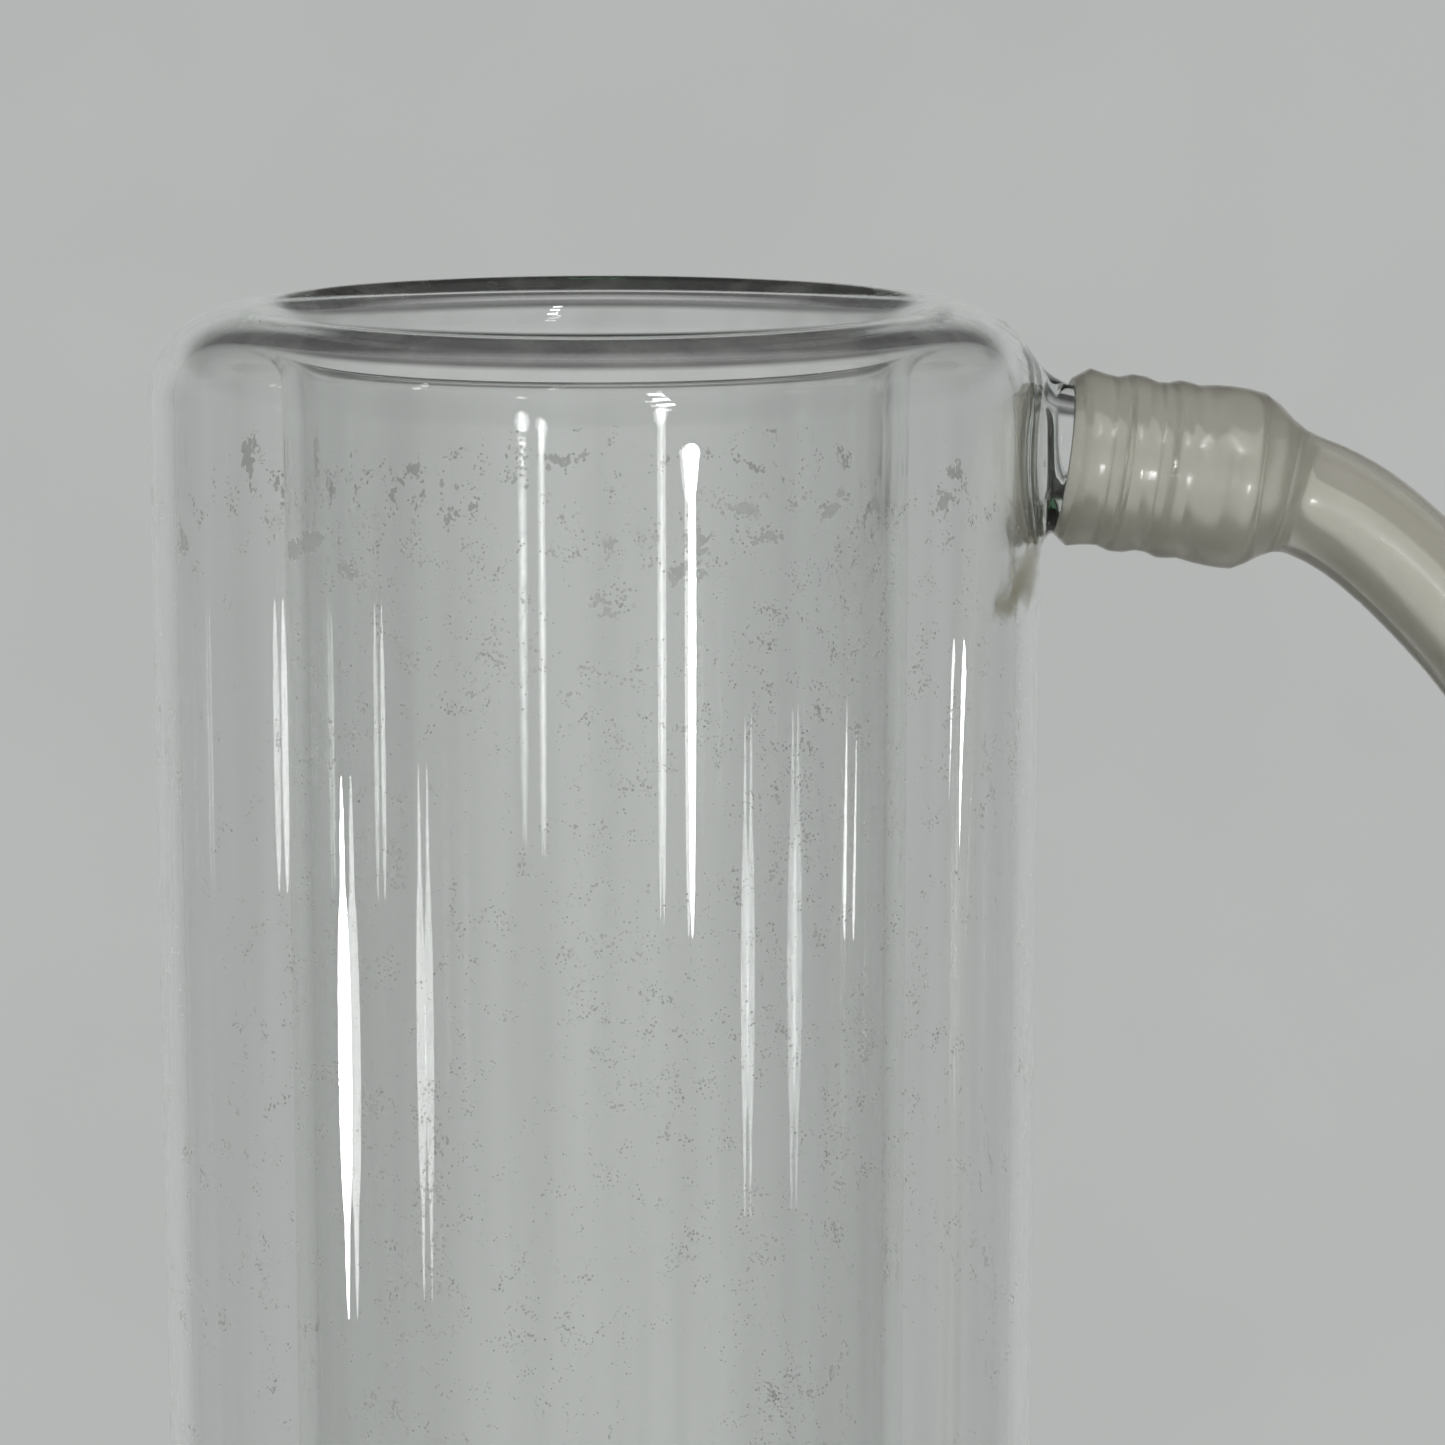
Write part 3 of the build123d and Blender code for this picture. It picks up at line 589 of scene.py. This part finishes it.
def ranged(tree, value, low, high, to_low=0.0, to_high=1.0, smooth=True):
    """A Map Range node from low..high to to_low..to_high."""
    node = tree.nodes.new("ShaderNodeMapRange")
    node.interpolation_type = "SMOOTHSTEP" if smooth else "LINEAR"
    node.inputs["From Min"].default_value = low
    node.inputs["From Max"].default_value = high
    node.inputs["To Min"].default_value = to_low
    node.inputs["To Max"].default_value = to_high
    tree.links.new(value, node.inputs["Value"])
    return node.outputs[0]


def noise(tree, vector, scale, detail=2.0, stretch=None):
    """A Noise node's value, on coordinates that may be stretched first."""
    if stretch:
        squeeze = tree.nodes.new("ShaderNodeMapping")
        squeeze.inputs["Scale"].default_value = stretch
        tree.links.new(vector, squeeze.inputs["Vector"])
        vector = squeeze.outputs[0]
    node = tree.nodes.new("ShaderNodeTexNoise")
    node.inputs["Scale"].default_value = scale
    node.inputs["Detail"].default_value = detail
    tree.links.new(vector, node.inputs["Vector"])
    return node.outputs[0]


# Dried hard water, as a mask for any glass: fine pale specks, thicker in patches.
scale_group, given, put = node_group(
    "dried_scale",
    [("Vector", "NodeSocketVector", (0, 0, 0)), ("Amount", "NodeSocketFloat", 0.5)],
    [("Mask", "NodeSocketFloat")],
)
speck = scale_group.nodes.new("ShaderNodeTexVoronoi")
speck.inputs["Scale"].default_value = 3400.0
scale_group.links.new(given.outputs["Vector"], speck.inputs["Vector"])
fine_grain = noise(scale_group, given.outputs["Vector"], 600.0, 3.0)
dot_size = ranged(scale_group, fine_grain, 0.42, 0.74, 0.0, 0.38)
patch = ranged(scale_group, noise(scale_group, given.outputs["Vector"], 110.0, 4.0), 0.35, 0.66)
reach = maths(scale_group, "MULTIPLY", dot_size, maths(scale_group, "ADD", patch, 0.35))
reach = maths(scale_group, "MULTIPLY", reach, given.outputs["Amount"])
dots = maths(scale_group, "SUBTRACT", reach, speck.outputs["Distance"])
dots = ranged(scale_group, dots, -0.02, 0.08)
scale_group.links.new(dots, put.inputs["Mask"])


def clear_glass(name, scale_amount, density=16.0):
    """Borosilicate glass that is green in depth, with dried scale. Returns the material and the
    nodes and sockets that a piece's own marks may be added to."""
    material = bpy.data.materials.new(name)
    material.use_nodes = True
    tree = material.node_tree
    body = tree.nodes["Principled BSDF"]
    body.inputs["Base Color"].default_value = (1, 1, 1, 1)
    body.inputs["Transmission Weight"].default_value = 1.0
    body.inputs["IOR"].default_value = 1.474
    body.inputs["Roughness"].default_value = 0.0
    depth = tree.nodes.new("ShaderNodeVolumeAbsorption")
    depth.inputs["Color"].default_value = (0.62, 0.84, 0.70, 1)
    depth.inputs["Density"].default_value = density
    tree.links.new(depth.outputs[0], tree.nodes["Material Output"].inputs["Volume"])
    place = tree.nodes.new("ShaderNodeTexCoord")
    scale = tree.nodes.new("ShaderNodeGroup")
    scale.node_tree = scale_group
    scale.inputs["Amount"].default_value = scale_amount
    tree.links.new(place.outputs["Object"], scale.inputs["Vector"])
    crust = tree.nodes.new("ShaderNodeBsdfPrincipled")
    crust.inputs["Base Color"].default_value = (0.9, 0.89, 0.85, 1)
    crust.inputs["Roughness"].default_value = 0.85
    mix = tree.nodes.new("ShaderNodeMixShader")
    tree.links.new(body.outputs[0], mix.inputs[1])
    tree.links.new(crust.outputs[0], mix.inputs[2])
    tree.links.new(scale.outputs["Mask"], mix.inputs[0])
    tree.links.new(mix.outputs[0], tree.nodes["Material Output"].inputs["Surface"])
    parts = dict(tree=tree, body=body, place=place.outputs["Object"])
    parts.update(crust=crust, mix=mix, scale=scale)
    return material, parts


def off_axis(tree, x, y):
    """The distance from the object's upright axis."""
    squares = maths(tree, "ADD", maths(tree, "POWER", x, 2), maths(tree, "POWER", y, 2))
    return maths(tree, "SQRT", squares)


def ground(parts, *bands):
    """Frost the ground faces of a glass: each band is low and high, then inner and outer radius."""
    tree = parts["tree"]
    split = tree.nodes.new("ShaderNodeSeparateXYZ")
    tree.links.new(parts["place"], split.inputs[0])
    x, y, z = split.outputs
    reach = off_axis(tree, x, y)
    frosted = 0.0
    for low, high, inner, outer in bands:
        from_low = ranged(tree, z, low, low + 0.4 * MM)
        mask = maths(tree, "MULTIPLY", from_low, ranged(tree, z, high, high - 0.4 * MM))
        mask = maths(tree, "MULTIPLY", mask, maths(tree, "GREATER_THAN", reach, inner))
        mask = maths(tree, "MULTIPLY", mask, maths(tree, "LESS_THAN", reach, outer))
        frosted = maths(tree, "MAXIMUM", mask, frosted)
    tree.links.new(maths(tree, "MULTIPLY", frosted, 0.34), parts["body"].inputs["Roughness"])


condenser_glass, parts = clear_glass("condenser_glass", 1.0)
ground(parts, (0.4505, 0.4895, 20.0 * MM, 22.6 * MM))
tree = parts["tree"]
split = tree.nodes.new("ShaderNodeSeparateXYZ")
tree.links.new(parts["place"], split.inputs[0])
x, y, z = split.outputs
radius = off_axis(tree, x, y)
past_inner = maths(tree, "GREATER_THAN", radius, (bore_radius + tube_outer) / 2)
within_jacket = maths(tree, "LESS_THAN", radius, jacket_outer - jacket_wall / 2)
water_side = maths(tree, "MULTIPLY", past_inner, within_jacket)
wander = ranged(tree, noise(tree, parts["place"], 140.0, 3.0), 0.3, 0.7, -2.5 * MM, 2.5 * MM, False)
below = maths(tree, "SUBTRACT", rim_z - 11.0 * MM, maths(tree, "ADD", z, wander))
under_water = ranged(tree, below, -1.0 * MM, 1.5 * MM)
from_line = maths(tree, "ABSOLUTE", maths(tree, "SUBTRACT", below, 1.6 * MM))
tide = ranged(tree, from_line, 0.0, 3.2 * MM, 1.0, 0.0)
amount = maths(tree, "ADD", maths(tree, "MULTIPLY", under_water, 0.72), maths(tree, "MULTIPLY", tide, 1.3))
amount = maths(tree, "MULTIPLY", maths(tree, "ADD", amount, 0.12), maths(tree, "ADD", water_side, 0.25))
tree.links.new(amount, parts["scale"].inputs["Amount"])
# the yellow-brown deposit where water has stood at the outlet nipple's foot
slanted = tree.nodes.new("ShaderNodeMapping")
slanted.vector_type = "TEXTURE"
slanted.inputs["Location"].default_value = (26.2 * MM, -7.6 * MM, rim_z - 17.0 * MM)
slanted.inputs["Rotation"].default_value = (0, math.radians(-37), 0)
slanted.inputs["Scale"].default_value = (4.4 * MM, 7.0 * MM, 1.7 * MM)
tree.links.new(parts["place"], slanted.inputs["Vector"])
stain_reach = tree.nodes.new("ShaderNodeVectorMath")
stain_reach.operation = "LENGTH"
tree.links.new(slanted.outputs[0], stain_reach.inputs[0])
ragged = ranged(tree, noise(tree, parts["place"], 520.0, 4.0), 0.3, 0.7, -0.35, 0.35, False)
stain = ranged(tree, maths(tree, "ADD", stain_reach.outputs["Value"], ragged), 0.2, 1.25, 0.85, 0.0)
stain = maths(tree, "MULTIPLY", stain, water_side)
colour = tree.nodes.new("ShaderNodeMix")
colour.data_type = "RGBA"
colour.inputs["A"].default_value = (0.9, 0.89, 0.85, 1)
colour.inputs["B"].default_value = (0.52, 0.44, 0.20, 1)
tree.links.new(ranged(tree, stain, 0.02, 0.2), colour.inputs["Factor"])
tree.links.new(colour.outputs["Result"], parts["crust"].inputs["Base Color"])
brushed = noise(tree, parts["place"], 300.0, 3.0, (1, 1, 0.05))
film = maths(tree, "MULTIPLY", ranged(tree, brushed, 0.42, 0.7, 0.012, 0.075), water_side)
specks = maths(tree, "MULTIPLY", parts["scale"].outputs["Mask"], 0.5)
crusted = maths(tree, "MAXIMUM", maths(tree, "MAXIMUM", specks, stain), film)
tree.links.new(crusted, parts["mix"].inputs[0])
condenser.data.materials.append(condenser_glass)
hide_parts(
    "condenser_jacket", "condenser_inner_tube", "condenser_cone", "outlet_nipple", "inlet_nipple"
)
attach(condenser, "upper_carriage")


# ================================================================ boiling flask
# A 500 mL round-bottom flask, blown, with a 29/32 ground socket on its neck. The lower clamp
# holds it under the bead of the neck.
flask_z, flask_radius, flask_wall = 155.0 * MM, 52.5 * MM, 1.8 * MM
neck_top = 250.0 * MM
neck_start = math.degrees(math.acos(19.0 / 52.5))
flask_outline = (
    bend(0, flask_z, flask_radius, flask_radius, -90, neck_start, 56)
    + bend(21.0 * MM, 211.5 * MM, 5.7 * MM, 7.6 * MM, 236, 180, 6)
    + [(15.3 * MM, 0.2135), (15.6 * MM, 0.2145), (16.6 * MM, 0.2165), (16.8 * MM, 0.2175)]
    + [(16.8 * MM, 0.2455)]
    + bend(17.2 * MM, 248.1 * MM, 1.4 * MM, 1.9 * MM, -75, 90, 8)
    + [(14.9 * MM, neck_top), (14.62 * MM, neck_top - 0.3 * MM), (13.05 * MM, 0.2184)]
    + [(12.9 * MM, 0.2170), (12.9 * MM, 0.2110)]
    + bend(21.4 * MM, 210.6 * MM, 8.5 * MM, 8.6 * MM, 180, 232, 6)
    + bend(0, flask_z, flask_radius - flask_wall, flask_radius - flask_wall, neck_start + 0.6, -90, 52)
)


def turned_open(outline, steps):
    """An open outline that starts and ends on the axis, turned about Z."""
    shell = bmesh.new()
    verts = [shell.verts.new((radius if abs(radius) > 1e-9 else 0.0, 0, z)) for radius, z in outline]
    edges = [shell.edges.new(pair) for pair in zip(verts, verts[1:])]
    turn = dict(cent=(0, 0, 0), axis=(0, 0, 1), angle=2 * math.pi, steps=steps)
    bmesh.ops.spin(shell, geom=verts + edges, use_merge=True, use_duplicate=False, **turn)
    bmesh.ops.remove_doubles(shell, verts=shell.verts, dist=1e-6)
    bmesh.ops.recalc_face_normals(shell, faces=shell.faces)
    return shell


flask = finished(turned_open(flask_outline, 160), "flask")
flask_glass, parts = clear_glass("flask_glass", 0.12)
ground(parts, (0.2185, 0.2496, 12.5 * MM, 14.8 * MM))
flask.data.materials.append(flask_glass)
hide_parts("flask_bulb", "flask_neck_tube")
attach(flask, "lower_carriage")


# ================================================================ boiling stones
# Broken chips of porous unglazed ceramic that keep the solvent boiling evenly. They lie loose
# on the flask's floor.
def stone(centre, size, seed):
    """A rough chip, pushed in and out by waves that the seed shifts."""
    chip = bmesh.new()
    bmesh.ops.create_icosphere(chip, subdivisions=2, radius=size)
    for vert in chip.verts:
        push = math.sin(vert.co.x * 2100 + seed * 2.1) * math.cos(vert.co.y * 1900 + seed)
        push += 0.6 * math.sin(vert.co.z * 3300 + seed * 5.3)
        vert.co *= 0.84 + 0.13 * push
    bmesh.ops.transform(chip, matrix=Matrix.Translation(centre), verts=chip.verts)
    return chip


chips = bmesh.new()
stone_reach = 48.5 * MM  # from the bulb's centre
stone_spots = [(3, 20), (8, 95), (9, 200), (7, 310), (13, 150), (12, 265), (14, 30)]
for index, (tip, turn) in enumerate(stone_spots):
    out = stone_reach * math.sin(math.radians(tip))
    down = stone_reach * math.cos(math.radians(tip))
    centre = (out * math.cos(math.radians(turn)), out * math.sin(math.radians(turn)), flask_z - down)
    joined(chips, stone(centre, (2.0 - 0.12 * (index % 3)) * MM, index))
stones = finished(chips, "stones", 25)


def plain_material(name, colour, roughness, metallic=0.0):
    """A Principled material with Object coordinates ready; returns it, its tree, shader and them."""
    material = bpy.data.materials.new(name)
    material.use_nodes = True
    tree = material.node_tree
    shader = tree.nodes["Principled BSDF"]
    shader.inputs["Base Color"].default_value = (*colour, 1)
    shader.inputs["Roughness"].default_value = roughness
    shader.inputs["Metallic"].default_value = metallic
    place = tree.nodes.new("ShaderNodeTexCoord").outputs["Object"]
    return material, tree, shader, place


def two_tone(tree, mask, dark, light, socket):
    """A colour between two by a mask, into a socket."""
    mix = tree.nodes.new("ShaderNodeMix")
    mix.data_type = "RGBA"
    mix.inputs["A"].default_value = (*dark, 1)
    mix.inputs["B"].default_value = (*light, 1)
    tree.links.new(mask, mix.inputs["Factor"])
    tree.links.new(mix.outputs["Result"], socket)


def bumped(tree, shader, height, distance):
    """Relief from a height socket; distance is how deep a height of 1 is."""
    bump = tree.nodes.new("ShaderNodeBump")
    bump.inputs["Distance"].default_value = distance
    tree.links.new(height, bump.inputs["Height"])
    tree.links.new(bump.outputs[0], shader.inputs["Normal"])


ceramic, tree, shader, place = plain_material("porous_ceramic", (0.8, 0.77, 0.7), 0.9)
pores = noise(tree, place, 2600.0, 4.0)
shade = ranged(tree, pores, 0.35, 0.6)
two_tone(tree, shade, (0.55, 0.5, 0.42), (0.85, 0.82, 0.76), shader.inputs["Base Color"])
bumped(tree, shader, pores, 0.15 * MM)
stones.data.materials.append(ceramic)
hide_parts("boiling_stones")
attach(stones, "lower_carriage")


# ================================================================ extractor
# Five tubes that the glassblower has fused: stem with a ground cone, chamber, socket, the wide
# vapour arm that passes the chamber by, and the thin siphon that empties it.
chamber_radius, inside_chamber = 25.0 * MM, 23.0 * MM
chamber_floor, socket_top = 292.0 * MM, 490.0 * MM
stem_radius = 13.0 * MM
sphere_z = chamber_floor + chamber_radius
meet = math.degrees(math.asin(14.2 / 25.0))
body_outline = (
    [(8.4 * MM, 0.2052), (9.2 * MM, 0.2045), (9.9 * MM, 0.2052), (12.3 * MM, 0.2160), (12.85 * MM, 0.2185)]
    + [(14.4 * MM, neck_top), (14.4 * MM, 0.2515), (14.0 * MM, 0.2540), (13.2 * MM, 0.2575)]
    + [(stem_radius, 0.2600)]
    + straight(stem_radius, 0.2600, 0.2925, 8)
    + [(13.1 * MM, 0.2925), (13.5 * MM, 0.2945)]
    + bend(0, sphere_z, chamber_radius, chamber_radius, meet - 90, 0, 16)
    + straight(chamber_radius, sphere_z, 0.484, 30)
    + [(chamber_radius, 0.484), (25.3 * MM, 0.4852), (26.4 * MM, 0.4860), (27.0 * MM, 0.4872)]
    + [(27.0 * MM, 0.4890), (26.4 * MM, 0.4898), (25.4 * MM, socket_top), (23.2 * MM, socket_top)]
    + [(22.65 * MM, 0.4896), (20.65 * MM, 0.4502), (20.6 * MM, 0.4480), (20.9 * MM, 0.4440)]
    + [(inside_chamber, 0.4375)]
    + straight(inside_chamber, 0.4375, sphere_z, 20)
    + bend(0, sphere_z, inside_chamber, inside_chamber, 0, -90, 24)
)
partition_under = (
    bend(0, sphere_z, chamber_radius, chamber_radius, -90, meet - 90 - 5, 8)
    + [(11.3 * MM, 0.2925), (11.2 * MM, 0.2880)]
    + straight(11.2 * MM, 0.2880, 0.2200, 10)
    + [(11.1 * MM, 0.2190)]
)


# the outline runs from the partition's underside down the stem, round its tip and up the outside
vessel = turned_open(partition_under + body_outline, 160)


def side_tube(route, radius, wall, bend_radius, segments=40):
    """A closed hollow tube along straight runs with round bends, both ends rounded off."""
    line = [Vector(route[0])]
    for index in range(1, len(route) - 1):
        corner, before, after = (Vector(route[i]) for i in (index, index - 1, index + 1))
        come, go = (corner - before).normalized(), (after - corner).normalized()
        half = come.angle(go) / 2
        cut = bend_radius[index - 1] * math.tan(half)
        inward = (go - come).normalized()
        centre = corner + inward * (bend_radius[index - 1] / math.cos(half))
        start = corner - come * cut
        arm = start - centre
        axis = come.cross(go).normalized()
        for piece in range(13):
            turn = Matrix.Rotation(2 * half * piece / 12, 3, axis)
            line.append(centre + turn @ arm)
    line.append(Vector(route[-1]))
    dense = [line[0]]
    for point in line[1:]:
        pieces = max(1, int((point - dense[-1]).length / (6 * MM)))
        start = dense[-1]
        dense += [start.lerp(point, (piece + 1) / pieces) for piece in range(pieces)]
    outer = hose_wall(dense, [radius] * len(dense), segments)
    joined(outer, hose_wall(dense, [radius - wall] * len(dense), segments))
    open_edges = [e for e in outer.edges if e.is_boundary]
    for end in (dense[0], dense[-1]):
        near = [e for e in open_edges if (e.verts[0].co - end).length < 1.5 * radius]
        bmesh.ops.bridge_loops(outer, edges=near)
    bmesh.ops.recalc_face_normals(outer, faces=outer.faces)
    return outer


vapour_route = [(-0.0115, 0, 0.273), (-0.038, 0, 0.273), (-0.038, 0, 0.424), (-0.0222, 0, 0.4312)]
siphon_route = [
    (0.0172, 0, 0.300),
    (0.033, 0, 0.300),
    (0.033, 0, 0.381),
    (0.045, 0, 0.381),
    (0.045, 0, 0.265),
    (0.0118, 0, 0.2586),
]
joined(vessel, side_tube(vapour_route, 8.0 * MM, 1.6 * MM, [14 * MM, 14 * MM], 56))
joined(vessel, side_tube(siphon_route, 3.5 * MM, 1.1 * MM, [9 * MM, 5.9 * MM, 5.9 * MM, 9 * MM]))
extractor = finished(vessel, "extractor_body")
extractor_glass, parts = clear_glass("extractor_glass", 0.10)
ground(parts, (0.2185, 0.2496, 12.5 * MM, 14.8 * MM), (0.4505, 0.4895, 20.3 * MM, 22.8 * MM))
extractor.data.materials.append(extractor_glass)
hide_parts("extractor_stem", "extractor_chamber", "extractor_socket", "vapour_arm", "siphon_tube")
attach(extractor, "extractor")


# ================================================================ thimble and wool
# A pressed cellulose thimble that holds the ground sample, closed with a plug of cotton wool.
thimble_floor, thimble_radius, thimble_wall, thimble_length = 294.3 * MM, 16.5 * MM, 1.5 * MM, 94.0 * MM
thimble_mid = thimble_floor + thimble_radius
thimble_top = thimble_floor + thimble_length
inside_radius = thimble_radius - thimble_wall
paper_outline = (
    bend(0, thimble_mid, thimble_radius, thimble_radius, -90, 0, 18)
    + straight(thimble_radius, thimble_mid, thimble_top - 0.5 * MM, 24)
    + bend(thimble_radius - 0.6 * MM, thimble_top - 0.5 * MM, 0.6 * MM, 0.5 * MM, 0, 90, 4)
    + bend(inside_radius + 0.6 * MM, thimble_top - 0.5 * MM, 0.6 * MM, 0.5 * MM, 90, 180, 4)
    + straight(inside_radius, thimble_top - 0.5 * MM, thimble_mid, 24)
    + bend(0, thimble_mid, inside_radius, inside_radius, 0, -90, 18)
)
paper = turned_open(paper_outline, 96)
for vert in paper.verts:
    angle = math.atan2(vert.co.y, vert.co.x)
    ease = smooth_step(vert.co.z, thimble_mid, thimble_top)
    swell = 1 - 0.004 * ease * (1 + math.sin(3 * angle + 40 * vert.co.z))
    vert.co.x *= swell
    vert.co.y *= swell
thimble = finished(paper, "thimble_paper")
cellulose, tree, shader, place = plain_material("pressed_cellulose", (0.86, 0.83, 0.74), 0.95)
fibres = noise(tree, place, 900.0, 6.0, (1, 1, 0.45))
shade = ranged(tree, fibres, 0.3, 0.7)
two_tone(tree, shade, (0.76, 0.71, 0.6), (0.9, 0.88, 0.81), shader.inputs["Base Color"])
bumped(tree, shader, fibres, 0.25 * MM)
thimble.data.materials.append(cellulose)
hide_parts("thimble")
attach(thimble, "thimble_body")

wool = bmesh.new()
bmesh.ops.create_icosphere(wool, subdivisions=5, radius=1.0)
for vert in wool.verts:
    tuft = math.sin(vert.co.x * 9 + 1.3) * math.sin(vert.co.y * 8 + 0.4) * math.sin(vert.co.z * 7)
    tuft += 0.5 * math.sin(vert.co.x * 23 + vert.co.y * 19) * math.sin(vert.co.z * 21 + 1)
    flat = Vector((vert.co.x, vert.co.y, 0)).length
    squash = min(1.0, 0.985 / max(flat, 1e-6)) if flat > 0.8 else 1.0
    vert.co.x *= 14.6 * MM * squash
    vert.co.y *= 14.6 * MM * squash
    vert.co.z = thimble_top - 8 * MM + vert.co.z * 5.6 * MM + 0.35 * MM * tuft
wool_plug = finished(wool, "wool", 180)
cotton, tree, shader, place = plain_material("cotton_wool", (0.9, 0.9, 0.88), 1.0)
shader.inputs["Sheen Weight"].default_value = 0.4
strands = noise(tree, place, 1500.0, 8.0)
shade = ranged(tree, strands, 0.35, 0.65)
two_tone(tree, shade, (0.78, 0.78, 0.76), (0.93, 0.93, 0.92), shader.inputs["Base Color"])
bumped(tree, shader, strands, 0.5 * MM)
wool_plug.data.materials.append(cotton)
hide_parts("wool_plug")
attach(wool_plug, "thimble_body")


# ================================================================ stand, bosses and clamps
# A cast iron plate in hammered enamel, a nickel-plated rod screwed into it, and for each clamp a
# tumbled die-cast boss and two jaws lined with cork. Screws, pins and arms are plated steel.
wear_group, given, put = node_group(
    "handled_metal",
    [("Vector", "NodeSocketVector", (0, 0, 0)), ("Grain", "NodeSocketFloat", 900.0)],
    [
        ("Roughness Shift", "NodeSocketFloat"),
        ("Height", "NodeSocketFloat"),
        ("Marks", "NodeSocketFloat"),
    ],
)
rubbed = noise(wear_group, given.outputs["Vector"], 60.0, 4.0)
fine = wear_group.nodes.new("ShaderNodeTexNoise")
fine.inputs["Detail"].default_value = 3.0
wear_group.links.new(given.outputs["Vector"], fine.inputs["Vector"])
wear_group.links.new(given.outputs["Grain"], fine.inputs["Scale"])
wear_group.links.new(ranged(wear_group, rubbed, 0.3, 0.7, -0.06, 0.08), put.inputs["Roughness Shift"])
wear_group.links.new(fine.outputs[0], put.inputs["Height"])
spotted = noise(wear_group, given.outputs["Vector"], 240.0, 5.0)
wear_group.links.new(ranged(wear_group, spotted, 0.62, 0.7), put.inputs["Marks"])


def metal(name, colour, marked, roughness, grain, depth):
    """A handled metal with a fine grain of that depth and marks of another colour."""
    material, tree, shader, place = plain_material(name, colour, roughness, 1.0)
    wear = tree.nodes.new("ShaderNodeGroup")
    wear.node_tree = wear_group
    wear.inputs["Grain"].default_value = grain
    tree.links.new(place, wear.inputs["Vector"])
    worn = maths(tree, "ADD", wear.outputs["Roughness Shift"], roughness)
    tree.links.new(worn, shader.inputs["Roughness"])
    two_tone(tree, wear.outputs["Marks"], colour, marked, shader.inputs["Base Color"])
    bumped(tree, shader, wear.outputs["Height"], depth)
    return material


plated = metal("nickel_plate", (0.72, 0.71, 0.68), (0.45, 0.38, 0.30), 0.18, 2500.0, 0.004 * MM)
casting = metal("tumbled_casting", (0.56, 0.57, 0.58), (0.34, 0.34, 0.34), 0.42, 1400.0, 0.03 * MM)
cork, tree, shader, place = plain_material("cork_sheet", (0.6, 0.42, 0.25), 0.95)
grains = tree.nodes.new("ShaderNodeTexVoronoi")
grains.inputs["Scale"].default_value = 620.0
tree.links.new(place, grains.inputs["Vector"])
shade = ranged(tree, grains.outputs["Distance"], 0.1, 0.7)
two_tone(tree, shade, (0.68, 0.49, 0.3), (0.36, 0.22, 0.11), shader.inputs["Base Color"])
bumped(tree, shader, grains.outputs["Distance"], 0.15 * MM)

enamel, tree, shader, place = plain_material("hammered_enamel", (0.10, 0.12, 0.14), 0.3)
dents = tree.nodes.new("ShaderNodeTexVoronoi")
dents.feature = "SMOOTH_F1"
dents.inputs["Scale"].default_value = 330.0
tree.links.new(place, dents.inputs["Vector"])
shade = ranged(tree, dents.outputs["Distance"], 0.1, 0.6)
two_tone(tree, shade, (0.075, 0.09, 0.105), (0.16, 0.18, 0.2), shader.inputs["Base Color"])
bumped(tree, shader, dents.outputs["Distance"], 0.12 * MM)

finishes = {
    "base_plate": enamel,
    "support_rod": plated,
    "rod_washer": plated,
    "rod_nut": plated,
}
for side in ("lower", "upper"):
    for cast_part in ("boss_head", "fixed_jaw", "moving_jaw"):
        finishes[f"{side}_{cast_part}"] = casting
    for steel_part in ("boss_rod_screw", "boss_arm_screw", "clamp_arm", "jaw_pin", "jaw_screw"):
        finishes[f"{side}_{steel_part}"] = plated
    for lining in ("fixed_pad", "moving_pad"):
        finishes[f"{side}_{lining}"] = cork
for node, finish in finishes.items():
    piece = bpy.data.objects[node]
    for slot in piece.material_slots:
        slot.material = finish
